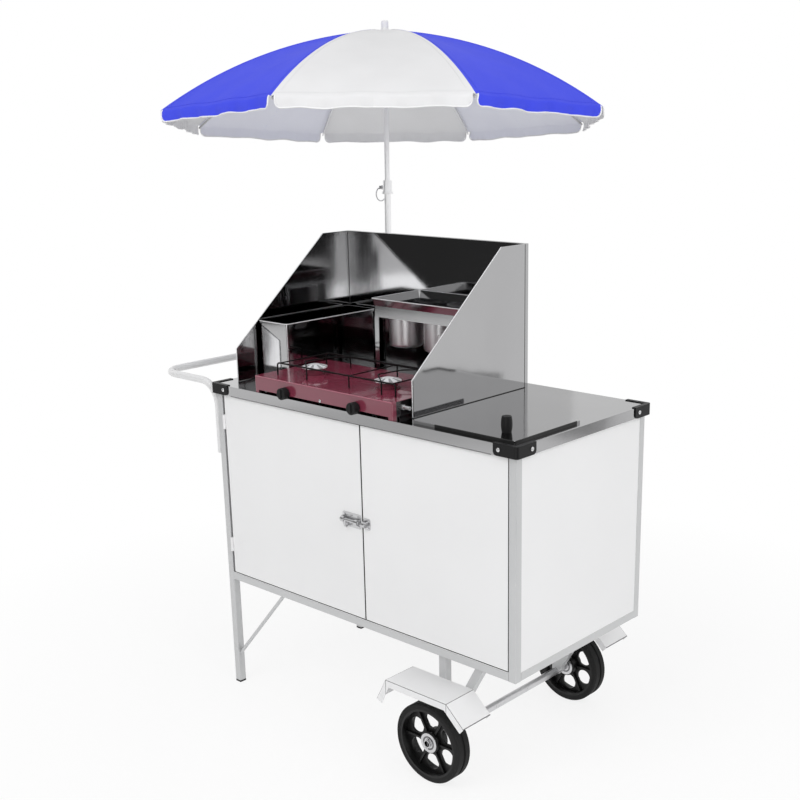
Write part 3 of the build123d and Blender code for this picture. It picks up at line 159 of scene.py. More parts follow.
class Finish:
    """One procedural material and the patterns that it is made of."""

    def __init__(self, name, **shader):
        self.material = bpy.data.materials.new(name)
        self.material.use_nodes = True
        self.tree = self.material.node_tree
        self.tree.nodes.clear()
        self.shader = self.tree.nodes.new("ShaderNodeBsdfPrincipled")
        self.out = self.tree.nodes.new("ShaderNodeOutputMaterial")
        self.tree.links.new(self.shader.outputs[0], self.out.inputs["Surface"])
        for socket, value in shader.items():
            self.set(socket.replace("_", " ").title().replace("Ior", "IOR"), value)

    def set(self, socket, value):
        feed(self.tree, self.shader.inputs[socket], value)

    def node(self, kind, settings=None, sockets=None, output=0):
        return add_node(self.tree, kind, settings, sockets, output)

    def place(self, scale=(1, 1, 1), centre=(0, 0, 0), source="Object"):
        spot = self.node("ShaderNodeTexCoord", output={"Object": 3, "UV": 2}[source])
        moved = self.node(
            "ShaderNodeVectorMath",
            {"operation": "SUBTRACT"},
            {0: spot, 1: centre},
        )
        return self.node("ShaderNodeMapping", None, {"Vector": moved, "Scale": scale})

    def noise(self, scale, detail=3.0, stretch=(1, 1, 1)):
        return self.node(
            "ShaderNodeTexNoise",
            None,
            {"Vector": self.place(stretch), "Scale": scale, "Detail": detail},
        )

    def axes(self, centre=(0, 0, 0), source="Object"):
        spot = self.place(centre=centre, source=source)
        return [self.node("ShaderNodeSeparateXYZ", None, {0: spot}, output=i) for i in range(3)]

    def between(self, mask, low, high):
        """A colour that runs from low to high as mask runs from 0 to 1."""
        return self.node(
            "ShaderNodeMix",
            {"data_type": "RGBA", "clamp_factor": True},
            {0: mask, 6: low, 7: high},
            output=2,
        )

    def mottled(self, mask, colour, low, high):
        """Shades of one colour, from low to high as mask runs from 0 to 1."""
        return self.between(mask, shade(colour, low), shade(colour, high))

    def spread(self, mask, low, high):
        """A value that runs from low to high as mask runs from 0 to 1."""
        return mask * (high - low) + low

    def relief(self, height, strength, distance):
        bump = self.node(
            "ShaderNodeBump",
            None,
            {"Height": height, "Strength": strength, "Distance": distance},
        )
        self.set("Normal", bump)


def shade(colour, factor):
    return tuple(min(1.0, channel * factor) for channel in colour[:3]) + (1.0,)


def grey(level):
    return (level, level, level, 1.0)


def sprayed(made, colour, roughness, peel):
    """Give a finish faint orange peel and a little uneven gloss, and return its colour."""
    made.set("Roughness", made.spread(made.noise(24.0), roughness - 0.05, roughness + 0.07))
    made.relief(made.noise(peel, 2.0), 0.05, 0.0004)
    return made.mottled(made.noise(3.5, 2.0), colour, 0.965, 1.03)


def paint(name, colour, roughness, peel=420.0, coat=0.0, metallic=0.0):
    """Sprayed paint under a thin clear coat."""
    made = Finish(name, metallic=metallic, coat_weight=coat, coat_roughness=0.08)
    made.set("Base Color", sprayed(made, colour, roughness, peel))
    return made.material


def wiped(made, colour):
    """Soft wipe marks on sheet steel, and the steel's colour with them."""
    marks = made.noise(5.0, 4.0, (1.0, 1.6, 1.0))
    return marks, made.mottled(marks, colour, 0.93, 1.05)


def steel(name, colour, roughness, grain, wavy):
    """Polished sheet with a fine grain along one way, soft wipe marks and shallow waves."""
    made = Finish(name, metallic=1.0)
    wipe, sheet = wiped(made, colour)
    grit = made.noise(180.0, 2.0, grain)
    made.set("Base Color", sheet)
    made.set("Roughness", made.spread(wipe, roughness - 0.03, roughness + 0.05) + grit * 0.03)
    made.relief(grit * 0.00001 + made.noise(9.0, 1.0) * wavy, 1.0, 1.0)
    return made.material


def turned(name, colour, roughness, centre, pitch):
    """Lathe-turned metal: fine rings round an upright axis."""
    made = Finish(name, metallic=1.0)
    x, y, _ = made.axes(centre)
    rings = (axis_distance(x, y) * (math.tau / pitch)).wave() * 0.5 + 0.5
    blotch = made.noise(40.0)
    made.set("Base Color", made.mottled(blotch, colour, 0.88, 1.06))
    made.set("Roughness", made.spread(blotch, roughness - 0.05, roughness + 0.1))
    made.relief(rings, 0.12, 0.0002)
    return made.material


def plated(name, colour, roughness):
    """Zinc or chrome plate with mottled gloss."""
    made = Finish(name, metallic=1.0)
    crystal = made.node("ShaderNodeTexVoronoi", None, {"Vector": made.place(), "Scale": 260.0})
    cloud = made.noise(60.0)
    made.set("Base Color", made.mottled(cloud, colour, 0.86, 1.08))
    made.set("Roughness", made.spread(cloud, roughness - 0.08, roughness + 0.1))
    made.relief(crystal, 0.06, 0.0002)
    return made.material


def plastic(name, colour, roughness, grain=900.0, coat=0.0, shine=0.5):
    """Moulded plastic with a fine spark-eroded grain."""
    made = Finish(name, coat_weight=coat, coat_roughness=0.1, specular_ior_level=shine)
    cloud = made.noise(18.0)
    made.set("Base Color", made.mottled(cloud, colour, 0.85, 1.2))
    made.set("Roughness", made.spread(cloud, roughness - 0.06, roughness + 0.08))
    made.relief(made.noise(grain, 2.0), 0.2, 0.0003)
    return made.material


def woven(name, colour, depth=0.25):
    """Plain-weave cloth: two crossed sets of threads on the piece's own UV map."""
    made = Finish(name, sheen_weight=0.05, sheen_roughness=0.5, specular_ior_level=0.15)
    across, along, _ = made.axes(source="UV")
    pitch = math.tau / 0.0016
    warp = (across * pitch).wave() * 0.5 + 0.5
    weft = (along * pitch).wave() * 0.5 + 0.5
    crease = made.noise(30.0, 3.0, (1.0, 1.0, 0.4))
    thread = warp * weft
    tone = made.noise(7.0, 4.0) * 0.7 + thread * 0.3
    made.set("Base Color", made.mottled(tone, colour, 0.9, 1.07))
    made.set("Roughness", made.spread(crease, 0.68, 0.86))
    made.relief(thread * 0.25 + crease * 0.75, depth, 0.0016)
    return made.material


# Geometry Nodes


class Tree:
    """A Geometry Nodes tree with named inputs, ending in Realize Instances and Set Material."""

    def __init__(self, name, **inputs):
        self.group = bpy.data.node_groups.new(name, "GeometryNodeTree")
        face = self.group.interface
        face.new_socket("Geometry", in_out="INPUT", socket_type="NodeSocketGeometry")
        for label, kind in inputs.items():
            face.new_socket(label, in_out="INPUT", socket_type="NodeSocket" + kind)
        face.new_socket("Geometry", in_out="OUTPUT", socket_type="NodeSocketGeometry")
        self.source = self.group.nodes.new("NodeGroupInput")

    def input(self, name):
        return Socket(self.group, self.source.outputs[name])

    def node(self, kind, settings=None, sockets=None, output=0):
        return add_node(self.group, kind, settings, sockets, output)

    def close(self, geometry):
        plain = self.node("GeometryNodeRealizeInstances", None, {"Geometry": geometry})
        painted = self.node(
            "GeometryNodeSetMaterial",
            None,
            {"Geometry": plain, "Material": self.input("finish")},
        )
        out = self.group.nodes.new("NodeGroupOutput")
        feed(self.group, out.inputs[0], painted)
        return self.group


def heads_tree():
    """A head on every point, standing along the point's own facing."""
    tree = Tree("fastener_heads", head="Object", size="Float", finish="Material")
    facing = tree.node(
        "GeometryNodeInputNamedAttribute", {"data_type": "FLOAT_VECTOR"}, {"Name": "facing"}
    )
    turn = tree.node("FunctionNodeAlignRotationToVector", {"axis": "Z"}, {"Vector": facing})
    shape = tree.node("GeometryNodeObjectInfo", None, {"Object": tree.input("head")}, output=4)
    heads = tree.node(
        "GeometryNodeInstanceOnPoints",
        None,
        {
            "Points": tree.input("Geometry"),
            "Instance": shape,
            "Rotation": turn,
            "Scale": tree.input("size"),
        },
    )
    return tree.close(heads)


def piping_tree():
    """A round cord along every line of the mesh."""
    tree = Tree("edge_piping", radius="Float", finish="Material")
    line = tree.node("GeometryNodeMeshToCurve", None, {"Mesh": tree.input("Geometry")})
    ring = tree.node(
        "GeometryNodeCurvePrimitiveCircle",
        None,
        {"Resolution": 8, "Radius": tree.input("radius")},
    )
    cord = tree.node(
        "GeometryNodeCurveToMesh",
        None,
        {"Curve": line, "Profile Curve": ring, "Fill Caps": True},
    )
    return tree.close(cord)


def stitch_tree():
    """Short stitches at an even pitch along every line of the mesh."""
    tree = Tree("stitch_rows", stitch="Object", pitch="Float", size="Float", finish="Material")
    line = tree.node("GeometryNodeMeshToCurve", None, {"Mesh": tree.input("Geometry")})
    even = tree.node(
        "GeometryNodeResampleCurve",
        {"mode": "LENGTH"},
        {"Curve": line, "Length": tree.input("pitch")},
    )
    along = tree.node("GeometryNodeInputTangent")
    turn = tree.node("FunctionNodeAlignRotationToVector", {"axis": "Z"}, {"Vector": along})
    shape = tree.node("GeometryNodeObjectInfo", None, {"Object": tree.input("stitch")}, output=4)
    row = tree.node(
        "GeometryNodeInstanceOnPoints",
        None,
        {"Points": even, "Instance": shape, "Rotation": turn, "Scale": tree.input("size")},
    )
    return tree.close(row)


def grow(name, mesh, group, **values):
    """Run a Geometry Nodes tree on a mesh and keep the result as a plain piece."""
    seed = bpy.data.objects.new(name + "_seed", mesh)
    bpy.context.scene.collection.objects.link(seed)
    modifier = seed.modifiers.new(name, "NODES")
    modifier.node_group = group
    for item in group.interface.items_tree:
        if item.in_out == "INPUT" and item.name in values:
            modifier[item.identifier] = values[item.name]
    grown = settled_mesh(seed)
    bpy.data.objects.remove(seed)
    if not grown.polygons:
        raise RuntimeError(f"{name} came out empty")
    return link_piece(name, grown)


# Mesh helpers


def link_piece(name, mesh):
    piece = bpy.data.objects.new(name, mesh)
    bpy.context.scene.collection.objects.link(piece)
    return piece


def finished_mesh(name, work):
    """Turn a bmesh into a mesh."""
    mesh = bpy.data.meshes.new(name)
    work.to_mesh(mesh)
    work.free()
    return mesh


def settled_mesh(piece):
    """A piece's mesh with its modifiers applied."""
    graph = bpy.context.evaluated_depsgraph_get()
    return bpy.data.meshes.new_from_object(piece.evaluated_get(graph))


def smooth(mesh):
    for face in mesh.polygons:
        face.use_smooth = True


def helper_shape(name, build):
    """A shape for instancing, removed again by its operator."""
    work = bmesh.new()
    build(work)
    mesh = finished_mesh(name, work)
    smooth(mesh)
    return link_piece(name, mesh)


def lathe(work, profile, sides):
    """Turn a profile of (radius, height) pairs about Z into a closed shape."""
    turns = [math.tau * side / sides for side in range(sides)]
    rings = []
    for radius, height in profile:
        spots = [(radius * math.cos(turn), radius * math.sin(turn), height) for turn in turns]
        rings.append([work.verts.new(spot) for spot in (spots if radius else spots[:1])])
    for low, high in zip(rings, rings[1:]):
        for side in range(sides):
            after = (side + 1) % sides
            corners = [low[side % len(low)], low[after % len(low)]]
            corners += [high[after % len(high)], high[side % len(high)]]
            work.faces.new(list(dict.fromkeys(corners)))
    bmesh.ops.recalc_face_normals(work, faces=work.faces)


def pan_head(work):
    """A unit pan head with a cross recess."""
    lathe(work, ((0, 0), (1.0, 0), (1.0, 0.22), (0.86, 0.44), (0.5, 0.58), (0, 0.6)), 16)
    for turn in (0.0, math.pi / 2):
        arm = bmesh.ops.create_cube(work, size=1.0)["verts"]
        bmesh.ops.scale(work, vec=(0.95, 0.2, 0.12), verts=arm)
        bmesh.ops.rotate(work, cent=(0, 0, 0), matrix=Matrix.Rotation(turn, 3, "Z"), verts=arm)
        bmesh.ops.translate(work, vec=(0, 0, 0.56), verts=arm)


def thread_shape(work):
    """A unit stitch: a short rounded thread along Z."""
    lathe(work, ((0, -1.0), (0.28, -0.8), (0.34, 0), (0.28, 0.8), (0, 1.0)), 6)


def spot_mesh(name, spots):
    """Points with a facing each, for fastener heads."""
    mesh = bpy.data.meshes.new(name)
    mesh.from_pydata([spot for spot, facing in spots], [], [])
    facings = mesh.attributes.new("facing", "FLOAT_VECTOR", "POINT")
    facings.data.foreach_set("vector", [value for spot, facing in spots for value in facing])
    return mesh


def line_mesh(name, lines):
    """Open polylines as one edge mesh."""
    points = [tuple(point) for line in lines for point in line]
    edges = []
    start = 0
    for line in lines:
        edges += [(start + i, start + i + 1) for i in range(len(line) - 1)]
        start += len(line)
    mesh = bpy.data.meshes.new(name)
    mesh.from_pydata(points, edges, [])
    return mesh


def rounded_loop(low, high, radius, level):
    """A closed line round a box with rounded corners, at one level."""
    right, left = high.x - radius, low.x + radius
    back, front = high.y - radius, low.y + radius
    loop = []
    for turn, (x, y) in enumerate(((right, back), (left, back), (left, front), (right, front))):
        for step in range(7):
            angle = math.pi / 2 * (turn + step / 6)
            loop.append((x + radius * math.cos(angle), y + radius * math.sin(angle), level))
    return loop + loop[:1]


def strip_mesh(name, low, high):
    """A straight strip between two corners, with its long edges rounded."""
    work = bmesh.new()
    bmesh.ops.create_cube(work, size=1.0)
    bmesh.ops.scale(work, vec=high - low, verts=work.verts)
    bmesh.ops.translate(work, vec=(low + high) / 2, verts=work.verts)
    bmesh.ops.bevel(
        work, geom=work.edges, offset=min(high - low) * 0.3, segments=2, profile=0.5, affect="EDGES"
    )
    return finished_mesh(name, work)


def dress(material, *names):
    """Give CAD pieces a finish."""
    for name in names:
        slots = NODES[name].data.materials
        slots.clear()
        slots.append(material)


# Settings


def colour_setting(name, description, default):
    return bpy.props.FloatVectorProperty(
        name=name, description=description, default=default, size=3, min=0, max=1, subtype="COLOR"
    )


def length_setting(name, description, default):
    return bpy.props.FloatProperty(
        name=name, description=description, default=default, min=0.0, precision=4, unit="LENGTH"
    )


def angle_setting(name, description, degrees):
    return bpy.props.FloatProperty(
        name=name, description=description, default=math.radians(degrees), subtype="ANGLE"
    )


def power_setting(name, description, default):
    return bpy.props.FloatProperty(
        name=name, description=description, default=default, unit="POWER"
    )


class CartColours(bpy.types.PropertyGroup):
    """Colours of the cart's finishes."""

    coat: colour_setting("White coat", "Powder coat of the panels and the door", (0.82, 0.82, 0.825))
    tube: colour_setting("Frame tube", "Grey paint of the square tube frame", (0.56, 0.565, 0.57))
    steel: colour_setting("Steel", "Polished sheet of the counter and hood", (0.43, 0.43, 0.435))
    enamel: colour_setting("Stove enamel", "Enamel of the stove", (0.18, 0.028, 0.052))
    moulding: colour_setting("Black plastic", "Corner guards, knobs and feet", (0.009, 0.009, 0.0095))
    blue: colour_setting("Blue cloth", "Blue gores of the umbrella", (0.058, 0.08, 0.8))
    white: colour_setting("White cloth", "White gores of the umbrella", (0.78, 0.78, 0.79))
    # The lining is partly its pale coating and partly painted light against the shade under the
    # canopy
    lining: colour_setting("Pale lining", "Coated inside of the blue gores", (0.86, 0.87, 0.98))


class CartTrim(bpy.types.PropertyGroup):
    """Sizes of the cloth and of the small trim."""

    canopy_radius: length_setting("Canopy radius", "Reach of the cloth along a rib", 0.606)
    canopy_rim: length_setting("Canopy rim", "Height of the rim above the pole seat", 0.9005)
    canopy_rise: length_setting("Canopy rise", "Rise of the cloth from rim to apex", 0.224)
    canopy_bulge: angle_setting("Canopy bulge", "Half the angle that a rib's arc spans", 15.5)
    canopy_sag: length_setting("Gore sag", "How far a gore pulls in between its ribs", 0.009)
    flap_drop: length_setting("Flap drop", "Depth of the hanging flaps", 0.030)
    flap_roll: length_setting("Flap roll", "Radius over which a flap turns down from its gore", 0.005)
    flap_corner: length_setting("Flap corner", "Corner radius of the hanging flaps", 0.015)
    cloth: length_setting("Cloth", "Thickness of the cloth", 0.0006)
    piping: length_setting("Piping", "Radius of the piping along the flaps", 0.0019)
    stitch: length_setting("Stitch", "Half length of a stitch", 0.0016)
    stitch_pitch: length_setting("Stitch pitch", "From one stitch to the next", 0.0055)
    screw: length_setting("Screw", "Radius of a guard screw's head", 0.005)
    # The seal strips and the sealant bead are black painted shade in the seams
    seal: length_setting("Seal", "Thickness of the black strips in the door's seams", 0.001)
    bead: length_setting("Shade line", "Radius of the sealant along the hood", 0.0012)
    # The ground edge is a bright line of painted highlight along the steel's edges
    edge: length_setting("Edge highlight", "Radius of the bright edges of the steel", 0.0011)


class CartStage(bpy.types.PropertyGroup):
    """Studio round the cart."""

    lens: bpy.props.FloatProperty(
        name="Lens",
        description="Focal length on a 36 mm sensor",
        default=54.27,
        subtype="DISTANCE_CAMERA",
    )
    azimuth: angle_setting("Azimuth", "Viewing angle round the cart", 42.005)
    elevation: angle_setting("Elevation", "Viewing angle above the floor", 16.06)
    roll: angle_setting("Roll", "Tilt of the camera", -0.82)
    key: power_setting("Key light", "Power of the key light", 80.0)
    fill: power_setting("Fill light", "Power of the fill light", 56.0)


# Umbrella cloth


def rib_frame(index):
    """Pivot, outward way and sideways way of one rib, from its joint."""
    joint = JOINTS[f"rib_{index % GORES + 1}_fold"]
    sideways = Vector(joint["axis"])
    return Vector(joint["pos_m"]), sideways.cross(LEAN), sideways


def ripple(height, rate, shift, gore, turn):
    """One wave along a gore's rim, shifted from gore to gore."""
    return height * math.sin(rate * turn + shift * gore)


class Cloth:
    """The shape of the canopy; a gore runs from its own rib (turn 0) to the next (turn 1)."""

    # Radius of the opening at the crown, length from there to the rim, and rows between them
    crown = 0.0235
    rib_length = 0.62
    shares = [row / 24 for row in range(25)]
    # Shares of the sag that go inwards and down, and the rim's own pull inwards
    belly_in = 0.45
    belly_down = 0.9
    scallop = 0.006
    # Share of a gore's edge that its flap leaves free at each end, and the hem's pull inwards
    flap_gap = 0.0175
    flap_tuck = 0.003
    # Dip of a lap under its neighbour, the turn it takes to dip, and the laps that are tried
    lap_depth = 0.0013
    lap_ramp = 0.06
    lap_least = 0.505
    lap_most = 0.9
    lap_step = 0.005

    def __init__(self, trim):
        self.trim = trim
        chord = math.hypot(trim.canopy_radius, trim.canopy_rise)
        self.arc = chord / 2 / math.sin(trim.canopy_bulge)
        drop = self.arc * math.cos(trim.canopy_bulge) / chord
        self.centre_r = trim.canopy_radius / 2 - drop * trim.canopy_rise
        self.centre_u = trim.canopy_rim + trim.canopy_rise / 2 - drop * trim.canopy_radius
        self.slope = math.atan2(trim.canopy_rise, trim.canopy_radius) + trim.canopy_bulge
        self.edge = 2 * trim.canopy_radius * math.sin(math.pi / GORES)

    def outward(self, gore):
        return (rib_frame(gore)[1] + rib_frame(gore + 1)[1]).normalized()

    def rib_point(self, index, share):
        """A point of the cloth on rib index, from crown (0) to rim (1)."""
        radius = self.crown + (self.trim.canopy_radius - self.crown) * share
        level = self.centre_u + math.sqrt(self.arc**2 - (radius - self.centre_r) ** 2)
        return SEAT + rib_frame(index)[1] * radius + LEAN * level

    def point(self, gore, turn, share):
        """A point of a gore, which sags between its ribs and pulls in along its rim."""
        flat = self.rib_point(gore, share).lerp(self.rib_point(gore + 1, share), turn)
        bow = 4 * turn * (1 - turn)
        belly = self.trim.canopy_sag * math.sin(math.pi * share**0.8) * bow
        pull = belly * self.belly_in + self.scallop * share**6 * bow
        down = belly * self.belly_down + ripple(0.0016, 18, 3, gore, turn) * bow * share**5
        return flat - self.outward(gore) * pull - LEAN * down

    def reaches_middle(self, turn, share):
        """Whether a half gore this wide still meets its neighbour when the umbrella is closed."""
        pivot, outward, sideways = rib_frame(0)
        arm = self.point(0, turn, share) - pivot
        fold = math.radians(JOINTS["rib_1_fold"]["range_deg"][1])
        closed = (pivot - SEAT).dot(outward) + arm.dot(outward) * math.cos(fold)
        closed += arm.dot(LEAN) * math.sin(fold)
        return abs(arm.dot(sideways)) * GATHER >= closed * math.tan(math.pi / GORES)

    def lap(self, share):
        """How far a half gore runs on under its neighbour, in turns of the gore."""
        turn = self.lap_least
        while turn < self.lap_most and not self.reaches_middle(turn, share):
            turn += self.lap_step
        return turn

    def lap_point(self, gore, turn, own, share):
        """A point of the lap, shallower near the crown; own is the turn from its own rib."""
        dip = min((own - 0.5) / self.lap_ramp, 1.0)
        depth = self.lap_depth * min(0.3 + 7 * share, 1.0)
        return self.point(gore, turn, share) - LEAN * depth * dip * dip * (3 - 2 * dip)

    def flap_length(self, turn):
        """How far the flap hangs; its lower corners are rounded."""
        corner = self.trim.flap_corner
        from_end = (min(turn, 1 - turn) - self.flap_gap) * self.edge
        short = corner - min(max(from_end, 0), corner)
        return self.trim.flap_drop - corner + math.sqrt(corner**2 - short**2)

    def flap_point(self, gore, turn, depth):
        """A point of the flap, which rolls over from the gore's slope and hangs down in waves."""
        roll = self.trim.flap_roll
        length = self.flap_length(turn) * depth
        rolled = roll * (1 - math.exp(-length / roll))
        wave = ripple(0.0030, 34, 2.1, gore, turn) + ripple(0.0014, 71, 4.0, gore, turn)
        hem = ripple(0.0010, 27, 1.3, gore, turn)
        out = rolled * math.cos(self.slope) - self.flap_tuck * depth + wave * depth
        down = length - rolled * (1 - math.sin(self.slope)) + hem * depth
        return self.point(gore, turn, 1.0) + self.outward(gore) * out - LEAN * down


def half_gore(cloth, gore, side):
    """Rows of the half gore on one side of a rib, with its lap, and then the rows of its flap.

    A row is a list of points with their places on the flat cloth.
    """
    first = cloth.flap_gap
    columns = 22
    turns = [first + (0.5 - first) * step / columns for step in range(columns + 1)]

    def facing(turn):
        return turn if side > 0 else 1 - turn

    rows = []
    for share in cloth.shares:
        reach = cloth.lap(share) - 0.5
        row = [(turn, cloth.point(gore, facing(turn), share)) for turn in turns]
        for step in (0.15, 0.3, 0.5, 0.75, 1.0):
            turn = 0.5 + reach * step
            row.append((turn, cloth.lap_point(gore, facing(turn), turn, share)))
        along = cloth.rib_length * share
        rows.append([(spot, (side * cloth.edge * turn * share, along)) for turn, spot in row])
    for depth in (0.06, 0.14, 0.24, 0.38, 0.56, 0.78, 1.0):
        row = [(turn, cloth.flap_point(gore, facing(turn), depth)) for turn in turns]
        along = cloth.rib_length + cloth.trim.flap_drop * depth
        rows.append([(spot, (side * cloth.edge * turn, along)) for turn, spot in row])
    return rows


def petal_mesh(cloth, index):
    """Both half gores beside one rib, with their laps and half flaps, as one sheet."""
    work = bmesh.new()
    cut = work.loops.layers.uv.new("cloth")
    flat = {}

    def pin(spot, place):
        vert = work.verts.new(spot)
        flat[vert] = place
        return vert

    spine = []
    for share in cloth.shares:
        spine.append(pin(cloth.rib_point(index, share), (0.0, cloth.rib_length * share)))
    for side in (1, -1):
        gore = index if side > 0 else index - 1
        rows = [[pin(*spot) for spot in row] for row in half_gore(cloth, gore, side)]
        starts = spine + [None] * (len(rows) - len(spine))
        grid = [[start] + row for start, row in zip(starts, rows)]
        for high, low in zip(grid, grid[1:]):
            for column in range(len(low) - 1):
                corners = [high[column], low[column], low[column + 1], high[column + 1]]
                if None in corners:
                    continue
                face = work.faces.new(corners if side > 0 else corners[::-1])
                face.material_index = gore % 2
                face.smooth = True
                for loop in face.loops:
                    loop[cut].uv = flat[loop.vert]
    for edge in work.edges:
        on_rib = edge.verts[0] in spine and edge.verts[1] in spine
        edge.smooth = not (on_rib or edge.is_boundary)
    return finished_mesh(f"cloth_{index + 1}", work)


def follow_rib(piece, index):
    """Let a piece of the canopy turn with its rib."""
    pivot, _, sideways = rib_frame(index)
    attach(piece, f"rib_{index + 1}")
    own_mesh(piece)


# The camera's place and its shift to the photograph's frame

EYE = (2.4597, -1.8886, 1.5060)
SHIFT = (-0.0517, 0.0743)

# Cards reflected in the steel: centre, radius, foot and columns; a column runs from one turn
# to another and is a stack of (head, brightness)

CARDS = {
    "right_card": (
        (0.1, 0.4),
        2.1,
        0.02,
        (
            (-84, -56.4, ((1.25, 0.02),)),
            (-56.4, -47.9, ((0.8, 4.2), (1.0, 2.0), (1.25, 0.3))),
            (-47.9, -46.4, ((1.25, 0.06),)),
            (-46.4, -45.6, ((0.76, 3.0), (1.25, 0.08))),
            (-45.6, -44.4, ((1.25, 0.08),)),
            (-44.4, -43.2, ((0.76, 4.0), (1.0, 2.6), (1.25, 0.1))),
            (-43.2, -42.5, ((0.76, 4.0), (1.25, 0.08))),
            (-42.5, -41.7, ((1.25, 0.06),)),
            (-41.7, -37, ((0.82, 0.05), (0.87, 1.0), (1.25, 0.06))),
            (-37, -12, ((1.25, 0.05),)),
        ),
    ),
    "left_card": ((0.6, 0.436), 3.2, 0.0, ((-155, -112, ((0.19, 0.7), (0.56, 1.0), (2.4, 0.04))),)),
    "back_card": ((0.983, 0.24), 3.0, 0.0, ((51.5, 57, ((0.24, 0.35),)),)),
    "far_card": (
        (0.8, 0.2),
        3.0,
        1.1,
        ((116, 123, ((2.5, 0.85),)), (123, 128, ((2.5, 0.7),)), (128, 140, ((2.5, 0.58),))),
    ),
}


# Operators


class CART_OT_paint_frame(bpy.types.Operator):
    """Paint the tube frame, the pole bracket and the white tubes"""

    bl_idname = "cart.paint_frame"
    bl_label = "Paint Frame"

    def execute(self, context):
        colours = context.scene.cart_colours
        tube = paint("frame_grey_paint", colours.tube, 0.36, coat=0.15, metallic=0.35)
        # Painted light: the poles' white is a lighter copy of the coat, against the canopy's shade
        white = paint("white_paint_painted_light", shade(colours.coat, 1.18), 0.3, coat=0.25, metallic=0.55)
        dress(tube, "corner_posts", "frame_rails", "frame_braces", "pole_bracket")
        dress(white, "lower_pole", "upper_pole")
        # Painted shade: the handle's white is a darker copy of the coat
        dress(paint("handle_white_paint_painted_shade", shade(colours.coat, 0.9), 0.3, coat=0.25), "handle")
        return {"FINISHED"}


class CART_OT_coat_panels(bpy.types.Operator):
    """Powder coat the panels, the door and the fenders, with painted shade along the fenders' folds
    """

    bl_idname = "cart.coat_panels"
    bl_label = "Coat Panels"

    def execute(self, context):
        colour = context.scene.cart_colours.coat
        coat = paint("white_powder_coat", colour, 0.42, peel=650.0, coat=0.08)
        dress(coat, "body_panels", "front_panel", "door", "hinge_pins", "hinge_sleeves")
        dress(self.coat_with_painted_fold_shade(colour), "fenders")
        return {"FINISHED"}

    def coat_with_painted_fold_shade(self, colour):
        """Powder coat with painted shade: dark grey lines along the folds, the lips and the lower end
        of the fenders.
        """
        made = Finish("fender_coat_painted_fold_shade", coat_weight=0.08, coat_roughness=0.08)
        low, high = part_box("fenders")
        outer_run, top_run = 0.051, 0.187
        outer_slope, inner_slope = 0.902, 1.9
        crease, lip, skin, end = 0.0007, 0.0008, 0.0012, 0.0016
        x, y, z = made.axes((high.x - outer_run, (low.y + high.y) / 2, high.z))
        past = -top_run - x
        fall = x.most(0.0) * outer_slope + past.most(0.0) * inner_slope
        lips = (abs(y) > (high.y - low.y) / 2 - lip) * ((z + fall) > -skin)
        folds = 2 - (abs(x) > crease) - (abs(past) > crease)
        line = lips.most(folds + (x > outer_run - end))
        coat = sprayed(made, colour, 0.42, 650.0)
        # Painted shade: the folds, the lips and the lower end are drawn dark grey
        made.set("Base Color", made.between(line, coat, (0.14, 0.14, 0.142, 1)))
        return made.material


class CART_OT_polish_steel(bpy.types.Operator):
    """Polish the counter, the hood, the bin, the rack, the pots and the well"""

    bl_idname = "cart.polish_steel"
    bl_label = "Polish Steel"

    def execute(self, context):
        colour = context.scene.cart_colours.steel
        level = steel("counter_steel", colour, 0.08, grain=(0.05, 1.0, 1.0), wavy=0.0002)
        upright = steel("hood_steel", colour, 0.04, grain=(1.0, 1.0, 0.05), wavy=0.00035)
        dress(level, "counter_top", "well_tub", "pot_rack")
        dress(self.lid_with_painted_edge_shadow(colour), "well_lid")
        dress(upright, "left_shield", "right_shield", "back_shield", "side_bin")
        for name in ("left_pot", "right_pot"):
            low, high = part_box(name)
            middle = (low + high) / 2
            # Painted light: the pots' steel is a lighter copy of the sheet steel
            dress(turned(name + "_steel", shade(colour, 1.75), 0.36, middle, pitch=0.004), name)
        return {"FINISHED"}

    def lid_with_painted_edge_shadow(self, colour):
        """Polished sheet with a black painted shadow along its right edge and most of its front edge,
        and a dull grey painted reflection on the rest of its front edge.
        """
        made = Finish("lid_steel_painted_shadow")
        low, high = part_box("well_lid")
        reach = (high - low) / 2
        shadow_width, back_gap, left_gap = 0.0012, 0.015, 0.066
        x, y, _ = made.axes((low + high) / 2)
        side = (x > reach.x - shadow_width) * (1 - (y > reach.y - back_gap))
        front = 1 - (y > shadow_width - reach.y)
        shadowed_front = x > left_gap - reach.x
        painted_reflection_strip = front * (1 - shadowed_front)
        edge = side.most(front * shadowed_front)
        wipe, sheet = wiped(made, colour)
        # Painted shadow: the right edge and most of the front edge are black
        sheet = made.between(edge, sheet, grey(0.01))
        # Painted reflection: the left end of the front edge is a dull grey
        made.set("Base Color", made.between(painted_reflection_strip, sheet, (0.15, 0.15, 0.152, 1)))
        made.set("Metallic", 1 - edge - painted_reflection_strip)
        made.set("Roughness", made.spread(wipe, 0.05, 0.13) + (edge + painted_reflection_strip) * 0.35)
        made.relief(made.noise(7.0, 1.0), 1.0, 0.0009)
        return made.material


